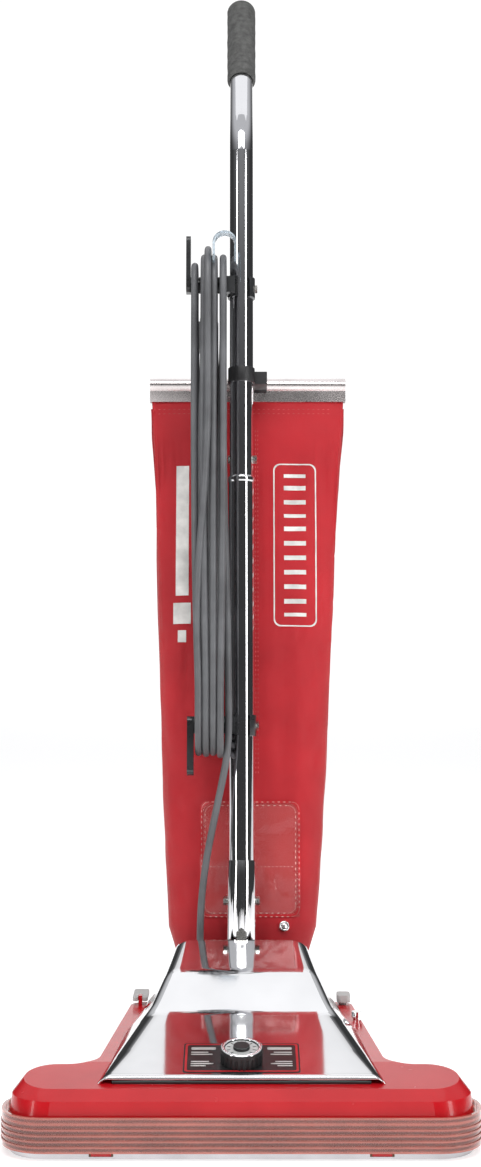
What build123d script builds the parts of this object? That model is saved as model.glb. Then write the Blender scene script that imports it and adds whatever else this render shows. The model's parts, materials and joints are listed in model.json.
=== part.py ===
from build123d import *
import math
import os

# Upright wide-area vacuum cleaner. Millimetres, +Z up, -Y is the front (the nozzle), +X is the
# user's right seen from the front. The origin ends up under the middle of the machine, on the floor.

# ---------------------------------------------------------------- driving dimensions
WALL = 3.0                 # cast housing wall
NOZZLE_FOOT_Z = 10.0       # lower edge of the casting above the floor
CREASE_Z = 52.0            # height where the nozzle front leans back
DECK_Z = 67.0              # top of the body deck
NOZZLE_REAR_Y = -108.0
WEB_Y = (-118.0, -115.0)   # wall between the brush chamber and the body
BODY_REAR_Y = 158.0
BODY_FRONT_HALF = 136.4
BODY_REAR_HALF = 117.0
OPENING_HALF_X = 88.0      # deck opening under the hood
OPENING_Y = (-112.0, 132.0)

BUMPER_HALF_X = 219.0
BUMPER_FRONT_Y = -195.0
BUMPER_Z = (7.5, 39.5)
RIB_PROUD = 1.0

HOOD_SHEET = 2.0
HOOD_LIP_Y = -161.0
HOOD_EDGE = 9.0            # size of the rounding between the flanks and the top
HOOD_TOP_REAR = (77.0, 148.0)
HOOD_RIDGE = [(-161.0, 68.0), (-38.0, 98.0), (10.0, 130.0), HOOD_TOP_REAR]
HOOD_FLAT_Y = -101.8       # where the hood's foot reaches the level deck
PANEL_RISE = 30.0 / 123.0  # slope of the lower front panel

ROLL_Y = -148.0            # brush roll axis
ROLL_Z = 30.0
ROLL_R = 16.0
BRISTLE_R = 26.2
ROLL_HALF_X = 197.0

MOTOR_Z = 60.0             # motor shaft axis, along Y at x = 0
PULLEY_Y = -100.0
PULLEY_R = 8.0
ROLL_GROOVE_R = 13.4       # the belt's groove in the brush roll; the roll turns at 8/13.4 of the motor

PIVOT_Y = 86.0             # handle pivot axis, along X
PIVOT_Z = 58.0
LEAN = 8.0                 # the handle leans back at rest
PIN_R = 5.0
RUN_CLEAR = 0.05           # radial clearance of a running fit

TUBE_LOWER_R = 13.8
TUBE_UPPER_R = 12.7
SOCKET_R = 15.2
FRONT_BOLT_R = 93.2        # distances from the pivot along the tube
JOINT_R = 577.5
BEND_R = 965.0
BEND_ANGLE = 28.3
TOP_LENGTH = 225.0         # from the bend's corner to the end of the grip
GRIP_LENGTH = 135.0
GRIP_R = 15.8

HOOK_UPPER_R = 789.0
HOOK_LOWER_R = 311.0
HOOK_FORWARD = -14.0       # hook arms sit in front of the tube's axis
ARM_R = 9.0

CORD_D = 7.5
HANK_INNER = 9.3
HANK_OUTER = 31.8

PLUG_X = -38.0
PLUG_BACK = 33.0           # behind the tube's axis
PLUG_TOP = 765.0
PLUG_FACE = 728.0          # the face that the pins stand in, measured along the tube

CHANNEL_R = 691.5
CHANNEL_Y = 45.0           # behind the tube's axis
CHANNEL_X = (-101.3, 115.3)
CHANNEL_ROLL_R = 8.0

PORT_Z = 46.0
PORT_R = 16.5
PORT_END_Y = 176.0

REAR_WHEEL_R = 27.0
REAR_WHEEL_Y = 128.0
FRONT_WHEEL_R = 15.0
FRONT_WHEEL_Y = -70.0
CARRIAGE_Y = -104.0
CARRIAGE_Z = 30.0

DIAL_Y = -134.0
DIAL_R = 19.5
CAM_R = (12.0, 17.4)       # the cam's radius grows over the dial's travel
DIAL_TRAVEL = 270.0

os.makedirs("parts", exist_ok=True)


# ---------------------------------------------------------------- helpers
def box(x0, x1, y0, y1, z0, z1):
    return Pos((x0 + x1) / 2, (y0 + y1) / 2, (z0 + z1) / 2) * Box(x1 - x0, y1 - y0, z1 - z0)


def rod(start, end, radius):
    way = Vector(*end) - Vector(*start)
    return extrude(Plane(origin=start, z_dir=way) * Circle(radius), way.length)


def ring(start, end, outer, inner):
    return rod(start, end, outer) - rod(start, end, inner)


def prism_x(points, x0, x1):
    """Outline given as (y, z), pushed from x0 to x1."""
    side = Plane(origin=(x0, 0, 0), x_dir=(0, 1, 0), z_dir=(1, 0, 0))
    return extrude(side * make_face(Polyline(*points, close=True)), x1 - x0)


def prism_y(points, y0, y1):
    """Outline given as (x, z), pushed from y0 to y1."""
    front = Plane(origin=(0, y1, 0), x_dir=(1, 0, 0), z_dir=(0, -1, 0))
    return extrude(front * make_face(Polyline(*points, close=True)), y1 - y0)


def plan(half_x, y0, y1, radius, z):
    """Rounded rectangle seen from above, at height z."""
    return Pos(0, (y0 + y1) / 2, z) * RectangleRounded(2 * half_x, y1 - y0, radius)


def both_sides(shape):
    return [shape, mirror(shape, about=Plane.YZ)]


def hexagon(start, end, across):
    way = Vector(*end) - Vector(*start)
    return extrude(Plane(origin=start, z_dir=way) * RegularPolygon(across / 2, 6, major_radius=False),
                   way.length)


def solids(*shapes):
    """A group of separate solids for one node."""
    found = []
    for shape in shapes:
        if isinstance(shape, (list, tuple)):
            for piece in shape:
                found.extend(piece.solids())
        else:
            found.extend(shape.solids())
    return found[0] if len(found) == 1 else Compound(children=found)


def nozzle_top(y):
    """Height of the casting's top surface, which falls towards the front."""
    return min(DECK_Z, 60.0 + (y + 173.0) * 6.0 / 61.0)


def above_top(gap=0.0):
    flat_y = -173.0 + (DECK_Z - 60.0) * 61.0 / 6.0
    return prism_x([(-240, nozzle_top(-240) + gap), (flat_y, DECK_Z + gap), (260, DECK_Z + gap),
                    (260, 300), (-240, 300)], -260, 260)


def body_half(y):
    """Half width of the body at y."""
    part = (y - NOZZLE_REAR_Y) / (BODY_REAR_Y - NOZZLE_REAR_Y)
    return BODY_FRONT_HALF + (BODY_REAR_HALF - BODY_FRONT_HALF) * part


# ---------------------------------------------------------------- housing and nozzle
def nozzle_block(inset, z_low, rear):
    """The nozzle's outer form, or with an inset its hollow. The top is cut to its slope later."""
    levels = [(NOZZLE_FOOT_Z, 216.0, -192.0, 38.0), (CREASE_Z, 210.0, -187.0, 38.0),
              (DECK_Z, 197.0, -161.0, 26.0)]
    sections = []
    for z, half, front, radius in levels:
        corner = min(radius - inset, (rear - front - inset) / 2 - 1)
        sections.append(plan(half - inset, front + inset, rear, corner, z))
    shape = loft(sections, ruled=True)
    if z_low < NOZZLE_FOOT_Z:
        half, front = 216.0 - inset, -192.0 + inset
        corner = min(38.0 - inset, (rear - front) / 2 - 1)
        shape = shape + extrude(plan(half, front, rear, corner, z_low), NOZZLE_FOOT_Z - z_low)
    return shape


def body_block():
    flare = 168.0
    outline = make_face(Polyline(
        (-BODY_FRONT_HALF, NOZZLE_REAR_Y), (-BODY_REAR_HALF, BODY_REAR_Y), (BODY_REAR_HALF, BODY_REAR_Y),
        (BODY_FRONT_HALF, NOZZLE_REAR_Y), (flare, NOZZLE_REAR_Y), (flare, -130), (-flare, -130),
        (-flare, NOZZLE_REAR_Y), close=True))
    inner_corners = outline.vertices().filter_by(
        lambda v: abs(abs(v.X) - BODY_FRONT_HALF) < 0.1)
    outline = fillet(inner_corners, 30)
    rear_corners = outline.vertices().filter_by(lambda v: v.Y > BODY_REAR_Y - 0.1)
    outline = fillet(rear_corners, 16)
    return extrude(Pos(0, 0, NOZZLE_FOOT_Z) * outline, DECK_Z - NOZZLE_FOOT_Z)


def body_hollow():
    front, rear = WEB_Y[1], BODY_REAR_Y - WALL
    outline = Polyline((-body_half(front) + WALL, front), (-body_half(rear) + WALL, rear),
                       (body_half(rear) - WALL, rear), (body_half(front) - WALL, front), close=True)
    return extrude(make_face(outline), DECK_Z - WALL)


def make_nozzle_housing():
    shell = nozzle_block(0, NOZZLE_FOOT_Z, NOZZLE_REAR_Y) + body_block() - above_top()
    chamber = nozzle_block(WALL, -1, WEB_Y[0]) - above_top(-WALL)
    shell = shell - chamber - body_hollow()
    opening_y = sum(OPENING_Y) / 2
    opening = Pos(0, opening_y, 50) * extrude(
        RectangleRounded(2 * OPENING_HALF_X, OPENING_Y[1] - OPENING_Y[0], 14), 30)
    shell = shell - opening
    # windows in the web: the belt's, and the mouth of the intake duct
    shell = shell - box(-12, 12, -122, -112, 12, 62)
    shell = shell - box(-47, -17, -122, -112, 39, 59)
    # the bag's port passes through the rear wall
    shell = shell - rod((0, 150, PORT_Z), (0, 162, PORT_Z), PORT_R)
    # ears that carry the front wheel carriage
    for ear in both_sides(box(71, 75, -115.5, -97, 22, 64.5)):
        shell = shell + ear
    shell = shell - rod((-80, CARRIAGE_Y, CARRIAGE_Z), (80, CARRIAGE_Y, CARRIAGE_Z), 3 + RUN_CLEAR)
    # lugs that show in the windows of the sole plate's rim
    for lug in both_sides(box(117, 135, -190.5, -186, 4, 14)):
        shell = shell + lug
    # bosses of the rear stub axles
    for boss in both_sides(rod((106, REAR_WHEEL_Y, REAR_WHEEL_R), (117, REAR_WHEEL_Y, REAR_WHEEL_R), 8)):
        shell = shell + boss
    shell = shell - rod((-130, REAR_WHEEL_Y, REAR_WHEEL_R), (130, REAR_WHEEL_Y, REAR_WHEEL_R), 4)
    # lug of the release pedal, and the hole of the foot switch
    shell = shell + box(-110, -106, 142, 150, 66, 77)
    shell = shell - rod((-118, 146, 74), (-100, 146, 74), 2.5 + RUN_CLEAR)
    shell = shell - rod((108, 149, 50), (108, 149, 70), 4.3)
    return shell


def make_bumper():
    def band(proud, z0, z1):
        outline = plan(BUMPER_HALF_X + proud, BUMPER_FRONT_Y - proud, -105 + proud, 41 + proud, z0)
        return extrude(outline, z1 - z0)
    shape = band(0, *BUMPER_Z)
    for z in (28.0, 22.8, 17.6, 12.4):
        shape = shape + band(RIB_PROUD, z, z + 1.6)
    hollow = extrude(plan(216.3, -192.3, -107.7, 38.3, 0), 60)
    return shape - hollow - box(-240, 240, -122, -80, 0, 60)


def make_sole_plate():
    outer = (212.0, -190.0, -110.0, 36.0)
    plate = extrude(plan(*outer, 1.5), 2.0)
    rim = extrude(plan(*outer, 1.5), 6.5) - extrude(plan(210.6, -188.6, -111.4, 34.6, 0), 12)
    plate = plate + rim - box(-240, 240, -112, -80, 3.5, 20)
    slot = extrude(plan(196, -177, -119, 6, 0), 8)
    for x in (-154, -92, -30, 30, 92, 154):
        slot = slot - box(x - 2.5, x + 2.5, -180, -116, -1, 10)
    plate = plate - slot
    for window in both_sides(box(115, 137, -192, -184, 3.6, 7.0)):
        plate = plate - window
    for clear in both_sides(box(116.5, 135.5, -191, -185, 3.6, 9.0)):
        plate = plate - clear
    return plate


def make_roll_bearings():
    block = box(199, 206, -162, -141, 14, 46)
    block = block - rod((190, ROLL_Y, ROLL_Z), (210, ROLL_Y, ROLL_Z), 4 + RUN_CLEAR)
    return solids(both_sides(block))


def make_brush_core():
    core = rod((-ROLL_HALF_X, ROLL_Y, ROLL_Z), (ROLL_HALF_X, ROLL_Y, ROLL_Z), ROLL_R)
    core = core + rod((-205, ROLL_Y, ROLL_Z), (205, ROLL_Y, ROLL_Z), 4)
    groove = ring((-7, ROLL_Y, ROLL_Z), (7, ROLL_Y, ROLL_Z), ROLL_R + 1, ROLL_GROOVE_R)
    return core - groove


def make_bristle_strips():
    tufts = []
    length = 20.0
    for side in (-1, 1):
        for index in range(8):
            x = side * (21 + index * 22.0)
            for start in (0, 180):
                turn = start + side * index * 22
                tuft = box(x - length / 2, x + length / 2, -2, 2, 15, BRISTLE_R)
                tuft = tuft - rod((x - 20, 0, 0), (x + 20, 0, 0), ROLL_R)
                tufts.append(Pos(0, ROLL_Y, ROLL_Z) * Rot(turn, 0, 0) * tuft)
    return solids(tufts)


def make_drive_belt():
    thick, width = 1.7, 8.0
    inner, groove = PULLEY_R + 1.4, ROLL_GROOVE_R + 0.8
    way = Vector(0, ROLL_Y - PULLEY_Y, ROLL_Z - MOTOR_Z).normalized()
    across = Vector(0, -way.Z, way.Y)
    if across.Z < 0:
        across = across * -1
    pulley = Vector(0, PULLEY_Y, MOTOR_Z)
    roll = Vector(0, ROLL_Y, ROLL_Z)
    shape = ring((0, PULLEY_Y - width / 2, MOTOR_Z), (0, PULLEY_Y + width / 2, MOTOR_Z),
                 inner + thick, inner)
    shape = shape - box(-20, 20, PULLEY_Y - 10, PULLEY_Y + 10, MOTOR_Z - 20, MOTOR_Z)
    wrap = ring((-width / 2, ROLL_Y, ROLL_Z), (width / 2, ROLL_Y, ROLL_Z), groove + thick, groove)
    keep = extrude(Plane(origin=tuple(roll), z_dir=tuple(way)) * Rectangle(60, 60), 30)
    wrap = wrap & keep
    shape = shape + wrap
    for side in (-1, 1):
        at_pulley = Plane(origin=tuple(pulley + Vector(side * (inner + thick / 2), 0, 0)),
                          x_dir=(1, 0, 0), z_dir=tuple(way))
        at_roll = Plane(origin=tuple(roll + across * (-side * (groove + thick / 2))),
                        x_dir=(1, 0, 0), z_dir=tuple(way))
        strand = loft([at_pulley * Rectangle(thick, width), at_roll * Rectangle(width, thick)], ruled=True)
        shape = shape + strand
    return shape


# ---------------------------------------------------------------- hood
def between(table, value):
    """Straight-line value in a table of (key, value) rows, and past its ends."""
    for (low, first), (high, second) in zip(table, table[1:]):
        if value <= high or high == table[-1][0]:
            return first + (second - first) * (value - low) / (high - low)


def hood_half(y, z):
    """Half width of the hood: three cross sections, straight between them."""
    heights = (62.0, 98.0, 130.0, 150.0)
    stations = [(-161.0, (130.0, 96.0, 79.0, 69.0)), (10.0, (121.0, 88.0, 73.0, 64.5)),
                (158.0, (101.0, 81.0, 69.0, 61.0))]
    return between([(at, between(list(zip(heights, widths)), z)) for at, widths in stations], y)


def hood_section(y, inset, rear=False):
    """Points over the hood from its left foot to its right one. The rear one lies in the slanted cut."""
    top = HOOD_TOP_REAR[1] if rear else between(HOOD_RIDGE, y)
    foot = nozzle_top(y) + 0.3
    ease = min(HOOD_EDGE, 0.8 * (top - foot)) * (0.7 if inset else 1.0)
    top = top - inset

    def at(z):
        level_y = sum(HOOD_TOP_REAR) - z if rear else y
        return Vector(hood_half(level_y, z) - 1.3 * inset, level_y, z)
    low = at(top - ease)
    corner = at(top)
    inward = corner - Vector(1.1 * ease, 0, 0)
    rounded = [low * (1 - t) ** 2 + corner * (2 * t * (1 - t)) + inward * t ** 2 for t in (0.33, 0.67)]
    right = [at(foot), at(min(98.0, low.Z)), at(min(130.0, low.Z)), low, *rounded, inward]
    return [Vector(-v.X, v.Y, v.Z) for v in right] + right[::-1]


def distinct(corners):
    points = []
    for corner in corners:
        if not any((corner - kept).length < 1e-6 for kept in points):
            points.append(corner)
    return points


def patch(*corners):
    """Flat faces over three or four corners, of which some may coincide."""
    points = distinct(corners)
    if len(points) < 3:
        return []
    if len(points) == 4:
        normal = (points[1] - points[0]).cross(points[2] - points[0]).normalized()
        if abs(normal.dot(points[3] - points[0])) > 1e-6:
            return [make_face(Polyline(*points[:3], close=True)),
                    make_face(Polyline(points[0], points[2], points[3], close=True))]
    return [make_face(Polyline(*points, close=True))]


def make_motor_hood():
    """Pressed sheet with flat facets: outer skin, inner skin, and the rim between them."""
    skins = []
    for inset in (0.0, HOOD_SHEET):
        stations = (HOOD_LIP_Y + inset, HOOD_FLAT_Y, -38.0, 10.0)
        skins.append([hood_section(y, inset) for y in stations] + [hood_section(0, inset, rear=True)])
    faces = []
    for skin in skins:
        faces.append(make_face(Polyline(*distinct(skin[0]), close=True)))
        for front, back in zip(skin, skin[1:]):
            for i in range(len(front) - 1):
                faces.extend(patch(front[i], front[i + 1], back[i + 1], back[i]))
    rims = [[section[0] for section in skin[::-1]] + [section[-1] for section in skin] + skin[-1][-2::-1]
            for skin in skins]
    for i in range(len(rims[0]) - 1):
        faces.extend(patch(rims[0][i], rims[0][i + 1], rims[1][i + 1], rims[1][i]))
    return Solid(Shell(faces)) - dial_rod(-20, 20, 4.2)


def dial_plane():
    z = 68.0 + (DIAL_Y - HOOD_LIP_Y) * PANEL_RISE
    angle = math.atan(PANEL_RISE)
    return Plane(origin=(0, DIAL_Y, z), x_dir=(1, 0, 0), z_dir=(0, -math.sin(angle), math.cos(angle)))


def dial_rod(low, high, radius):
    return extrude(dial_plane().offset(low) * Circle(radius), high - low)


def make_label_plate():
    sheet = dial_plane().offset(0.1) * Pos(0, 6.5, 0) * RectangleRounded(108, 57, 3)
    return extrude(sheet, 1.0) - dial_rod(-5, 5, 6)


def make_dial_knob():
    knob = dial_rod(1.4, 15.0, DIAL_R)
    for index in range(24):
        flute = Pos(DIAL_R + 0.6, 0, 0) * Circle(1.7)
        cut = dial_plane().offset(1.0) * Rot(0, 0, index * 15) * flute
        knob = knob - extrude(cut, 10.0)
    return knob - dial_rod(12.5, 16, 15.5)


def make_dial_face():
    face = dial_rod(12.5, 14.0, 15.4)
    return face + dial_rod(14.0, 17.0, 7.5)


def make_dial_cam():
    outline = []
    for step in range(0, 19):
        turn = DIAL_TRAVEL * step / 18
        radius = CAM_R[0] + (CAM_R[1] - CAM_R[0]) * step / 18
        angle = math.radians(90 - turn)
        outline.append((radius * math.cos(angle), radius * math.sin(angle)))
    cam = dial_plane().offset(-6.5) * make_face(Polyline(*outline, (-CAM_R[0], 0), close=True))
    return extrude(cam, 3.0) + dial_rod(-7.0, 1.4, 4.0)


def make_rear_cover():
    inner_sum, outer_sum = 215.4, 217.5
    cover = prism_x([(79.0, inner_sum - 79.0), (80.0, outer_sum - 80.0), (146.0, outer_sum - 146.0),
                     (145.0, inner_sum - 145.0)], -48, 48)
    slot = rod(handle_point(-43, 13, 30), handle_point(-43, 13, 80), 6.8)
    return cover - slot


def make_thumb_screw():
    return rod((119, 72, DECK_Z), (119, 72, DECK_Z + 3), 4.0) + rod((119, 72, DECK_Z + 3), (119, 72, 76), 5.5)


# ---------------------------------------------------------------- motor and air path
def make_motor_bed():
    bed = box(-89, 89, -50, 98, 15, 18)
    for flange in both_sides(box(88.5, 91, -50, 98, 15, 64)):
        bed = bed + flange
    bed = bed + box(-13.6, 22, -46, -43, 18, 76)
    bed = bed - rod((0, -50, MOTOR_Z), (0, -40, MOTOR_Z), 11)
    bed = bed + box(-30, 30, 50, 90, 18, 30)
    return bed - rod((0, 30, MOTOR_Z), (0, 110, MOTOR_Z), 34)


def make_bail_brackets():
    plate = box(74, 78, 74, 98, 18, PIVOT_Z) + rod((74, PIVOT_Y, PIVOT_Z), (78, PIVOT_Y, PIVOT_Z), 12)
    plate = plate - rod((70, PIVOT_Y, PIVOT_Z), (80, PIVOT_Y, PIVOT_Z), PIN_R)
    return solids(both_sides(plate))


def make_pivot_pins():
    pin = rod((60, PIVOT_Y, PIVOT_Z), (78, PIVOT_Y, PIVOT_Z), PIN_R)
    pin = pin + rod((78, PIVOT_Y, PIVOT_Z), (82, PIVOT_Y, PIVOT_Z), 8)
    return solids(both_sides(pin))


def make_fan_housing():
    case = rod((0, 0, MOTOR_Z), (0, 34, MOTOR_Z), 38) + box(28, 56, 4, 34, 22, 50)
    case = case - rod((0, 3, MOTOR_Z), (0, 31, MOTOR_Z), 35.5) - box(28, 53.5, 6.5, 31.5, 24.5, 47.5)
    case = case - rod((0, -1, MOTOR_Z), (0, 5, MOTOR_Z), 15) - rod((0, 28, MOTOR_Z), (0, 36, MOTOR_Z), 8)
    return case - rod((42, 30, 36), (42, 36, 36), 10)


def make_intake_duct():
    outer = box(-50, -14, -114.8, -15, 36, 62) + box(-50, 20, -20, -0.2, 36, 82)
    inner = box(-48, -16, -116, -18, 38, 60) + box(-48, 18, -18, 0, 38, 80)
    return outer - inner - rod((0, -30, MOTOR_Z), (0, 0, MOTOR_Z), 7)


def make_motor_frame():
    can = rod((0, 36, MOTOR_Z), (0, 102, MOTOR_Z), 34) - rod((0, 34, MOTOR_Z), (0, 99.5, MOTOR_Z), 32)
    can = can - rod((0, 98, MOTOR_Z), (0, 104, MOTOR_Z), 11)
    for angle in range(30, 360, 60):
        vent = Pos(0, 92, MOTOR_Z) * Rot(0, angle, 0) * Pos(33, 0, 0) * Box(8, 6, 9)
        can = can - vent
    return can


def make_motor_field():
    core = rod((0, 44, MOTOR_Z), (0, 78, MOTOR_Z), 31.9) - rod((0, 40, MOTOR_Z), (0, 80, MOTOR_Z), 20.6)
    for coil in both_sides(box(21, 27, 40, 44, MOTOR_Z - 12, MOTOR_Z + 12)):
        core = core + coil
    return core


def make_armature():
    core = rod((0, 45, MOTOR_Z), (0, 77, MOTOR_Z), 20)
    for index in range(12):
        slot = Pos(0, 61, MOTOR_Z) * Rot(0, index * 30, 0) * Pos(18.5, 0, 0) * Box(4, 40, 2.4)
        core = core - slot
    return core - rod((0, 40, MOTOR_Z), (0, 90, MOTOR_Z), 4)


def make_commutator():
    return ring((0, 82, MOTOR_Z), (0, 95, MOTOR_Z), 11, 4)


def make_carbon_brushes():
    return solids(both_sides(box(11.3, 24, 86, 92, MOTOR_Z - 2.5, MOTOR_Z + 2.5)))


def make_motor_bearings():
    front = ring((0, -46, MOTOR_Z), (0, -43, MOTOR_Z), 11, 4 + RUN_CLEAR)
    rear = ring((0, 99.5, MOTOR_Z), (0, 102, MOTOR_Z), 11, 4 + RUN_CLEAR)
    return solids(front, rear)


def make_fan():
    wheel = rod((0, 8, MOTOR_Z), (0, 10.5, MOTOR_Z), 32) + rod((0, 8, MOTOR_Z), (0, 28, MOTOR_Z), 8)
    for index in range(8):
        blade = box(9, 31, 10.5, 24, -1.2, 1.2)
        wheel = wheel + Pos(0, 0, MOTOR_Z) * Rot(0, index * 45, 0) * blade
    return wheel - rod((0, 0, MOTOR_Z), (0, 36, MOTOR_Z), 4)


def make_motor_pulley():
    y0, y1 = PULLEY_Y - 6, PULLEY_Y + 6
    return ring((0, y0, MOTOR_Z), (0, y1, MOTOR_Z), PULLEY_R, 4)


def make_exhaust_duct():
    port = rod((0, 124, PORT_Z), (0, PORT_END_Y, PORT_Z), PORT_R)
    duct = port + box(-20, 55, 112, 126, 25, 60) + rod((42, 34.2, 36), (42, 113, 36), 12)
    hollow = rod((0, 120, PORT_Z), (0, 180, PORT_Z), PORT_R - 2)
    hollow = hollow + box(-18, 53, 114, 124, 27, 58) + rod((42, 30, 36), (42, 116, 36), 10)
    return duct - hollow


def make_neck_clamp():
    band = ring((0, 164, PORT_Z), (0, 171, PORT_Z), 20.4, 18.6)
    lug = box(20, 27, 164, 171, PORT_Z - 3, PORT_Z + 3)
    return band + (lug - rod((0, 160, PORT_Z), (0, 175, PORT_Z), 19.5))


# ---------------------------------------------------------------- wheels
def make_rear_axles():
    stub = rod((84, REAR_WHEEL_Y, REAR_WHEEL_R), (117, REAR_WHEEL_Y, REAR_WHEEL_R), 4)
    stub = stub + rod((84, REAR_WHEEL_Y, REAR_WHEEL_R), (86.5, REAR_WHEEL_Y, REAR_WHEEL_R), 6.5)
    return solids(both_sides(stub))


def wheel(x0, x1, y, radius, bore):
    tyre = rod((x0, y, radius), (x1, y, radius), radius)
    tyre = fillet(tyre.edges(), min(2.5, (x1 - x0) * 0.2))
    dish = ring((x1 - 2.5, y, radius), (x1 + 1, y, radius), radius * 0.72, bore + 3)
    return tyre - dish - rod((x0 - 1, y, radius), (x1 + 1, y, radius), bore)


def make_front_carriage():
    rod_ends = (75, CARRIAGE_Y, CARRIAGE_Z)
    frame = rod((-75, CARRIAGE_Y, CARRIAGE_Z), rod_ends, 3)
    frame = frame + rod((-69.5, FRONT_WHEEL_Y, FRONT_WHEEL_R), (69.5, FRONT_WHEEL_Y, FRONT_WHEEL_R), 2.5)
    arm = [(CARRIAGE_Y, CARRIAGE_Z + 6), (CARRIAGE_Y - 5, CARRIAGE_Z), (CARRIAGE_Y, CARRIAGE_Z - 6),
           (FRONT_WHEEL_Y, FRONT_WHEEL_R - 5), (FRONT_WHEEL_Y + 5, FRONT_WHEEL_R),
           (FRONT_WHEEL_Y, FRONT_WHEEL_R + 5)]
    for x0 in (50.5, 67.0):
        for side in both_sides(prism_x(arm, x0, x0 + 2.5)):
            frame = frame + side
    # lever from the rod up to the dial's cam
    lever = box(24, 30, -108, -100, CARRIAGE_Z - 4, 73.5) + box(24, 30, -114, -104, 69.5, 73.5)
    lever = lever + box(-5, 30, -120.2, -114, 69.5, 73.5)
    return frame + lever


# ---------------------------------------------------------------- handle, in its own leaning frame
HANDLE_FRAME = Pos(0, PIVOT_Y, PIVOT_Z) * Rot(-LEAN, 0, 0)


def handle_point(x, back, along):
    """A point given along the tube from the pivot, and behind its axis."""
    lean = math.radians(LEAN)
    return (x, PIVOT_Y + along * math.sin(lean) + back * math.cos(lean),
            PIVOT_Z + along * math.cos(lean) - back * math.sin(lean))


def bail_outline():
    """Yoke seen from the front: straight legs, round shoulders, flat top."""
    outer = RectangleRounded(140, 140, 30)
    inner = RectangleRounded(120, 120, 20)
    return Pos(0, 12, 0) * (outer - inner)


def bail_half(side):
    upright = Plane(origin=(0, 7, 0), x_dir=(1, 0, 0), z_dir=(0, -1, 0))
    yoke = extrude(upright * bail_outline(), 14)
    yoke = yoke - box(-80, 80, -10, 10, -90, 0) - box(-80, 0, -10, 10, -10, 90)
    yoke = yoke + rod((60, 0, 0), (73.5, 0, 0), 11)
    yoke = yoke - rod((55, 0, 0), (80, 0, 0), PIN_R + RUN_CLEAR)
    # the two halves lap at the top, one in front of the other, inside the socket
    yoke = yoke - box(-1, 11, -10, 10, 70, 110)
    yoke = yoke + box(-11, 11, 0.1, 6.6, 72, 103)
    if side < 0:
        yoke = Rot(0, 0, 180) * yoke
    return yoke - rod((0, -20, FRONT_BOLT_R), (0, 20, FRONT_BOLT_R), 3.05)


def make_handle_socket():
    socket = rod((0, 0, 80), (0, 0, 170), SOCKET_R) - rod((0, 0, 104), (0, 0, 171), TUBE_LOWER_R)
    socket = socket - box(-11.3, 11.3, -6.8, 6.8, 79, 104.5)
    foot = rod((0, 0, 79), (0, 0, 84), 20) - rod((0, 0, 78), (0, 0, 85), 13.2)
    socket = socket - foot
    socket = socket - rod((0, -20, FRONT_BOLT_R), (0, 20, FRONT_BOLT_R), 3.05)
    socket = socket - box(-30, 30, -7.2, 7.2, 79, 82.2)
    return socket - rod((-20, 0, 128), (20, 0, 128), 2.55)


def bolt(head_start, head_end, tail_start, tail_end, radius, across):
    """Hexagon head, shank, and nut on the far side."""
    shape = hexagon(head_start, head_end, across) + rod(head_end, tail_start, radius)
    return shape + hexagon(tail_start, tail_end, across)


def make_handle_bolts():
    front = bolt(*[(0, back, FRONT_BOLT_R) for back in (-19.5, -15.3, 15.3, 19.5)], 3.0, 11)
    side = bolt((19.0, 0, 128), (15.3, 0, 128), (-15.3, 0, 128), (-19.0, 0, 128), 2.5, 8)
    joint = bolt((16.6, 0, 599), (12.8, 0, 599), (-12.8, 0, 599), (-14.8, 0, 599), 2.5, 8)
    return [front, side, joint]


def make_lower_tube():
    tube = ring((0, 0, 106), (0, 0, JOINT_R), TUBE_LOWER_R - 0.02, TUBE_LOWER_R - 1.05)
    tube = tube - rod((-20, 0, 128), (20, 0, 128), 2.55)
    return tube - rod((-20, 0, HOOK_LOWER_R), (20, 0, HOOK_LOWER_R), 2.55)


def upper_tube_path(start):
    angle = math.radians(BEND_ANGLE)
    end = TOP_LENGTH - 6.0
    points = [(0, 0, start), (0, 0, BEND_R),
              (0, end * math.sin(angle), BEND_R + end * math.cos(angle))]
    return FilletPolyline(*points, radius=80)


def make_upper_tube():
    def sweep_radius(radius):
        path = upper_tube_path(515)
        return sweep(Plane(origin=path @ 0, z_dir=path % 0) * Circle(radius), path=path)
    tube = sweep_radius(TUBE_UPPER_R) - sweep_radius(TUBE_UPPER_R - 1.0)
    tube = tube - rod((-20, 0, 599), (20, 0, 599), 2.55)
    return tube - rod((-20, 0, HOOK_UPPER_R), (20, 0, HOOK_UPPER_R), 2.55)


def make_grip():
    low = TOP_LENGTH - GRIP_LENGTH
    inner = TUBE_UPPER_R + 0.02
    outline = [(inner, low), (GRIP_R + 0.7, low), (GRIP_R, low + 30), (GRIP_R, TOP_LENGTH - 7),
               (GRIP_R - 2, TOP_LENGTH - 2.5), (GRIP_R - 6, TOP_LENGTH), (0, TOP_LENGTH),
               (0, TOP_LENGTH - 5.8), (inner, TOP_LENGTH - 5.8)]
    sleeve = revolve(Plane.XZ * make_face(Polyline(*outline, close=True)), Axis.Z)
    return Pos(0, 0, BEND_R) * Rot(-BEND_ANGLE, 0, 0) * sleeve


def hook_arm(along, x0, x1, blade_x, tip):
    """Round arm with a flat blade at its end, which points up or down."""
    arm = rod((x0, HOOK_FORWARD, along), (x1, HOOK_FORWARD, along), ARM_R)
    low, high = (along - 9, along + tip) if tip > 0 else (along + tip, along + 9)
    blade = box(blade_x, x1, HOOK_FORWARD - 10, HOOK_FORWARD + 10, low, high)
    blade = fillet(blade.edges().filter_by(Axis.X), 6)
    return arm + blade


def make_upper_hook():
    hook = hook_arm(HOOK_UPPER_R, -17.6, -55, -60, 54)
    return hook - rod((-15, HOOK_FORWARD, HOOK_UPPER_R), (-40, HOOK_FORWARD, HOOK_UPPER_R), 3 + RUN_CLEAR)


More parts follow.
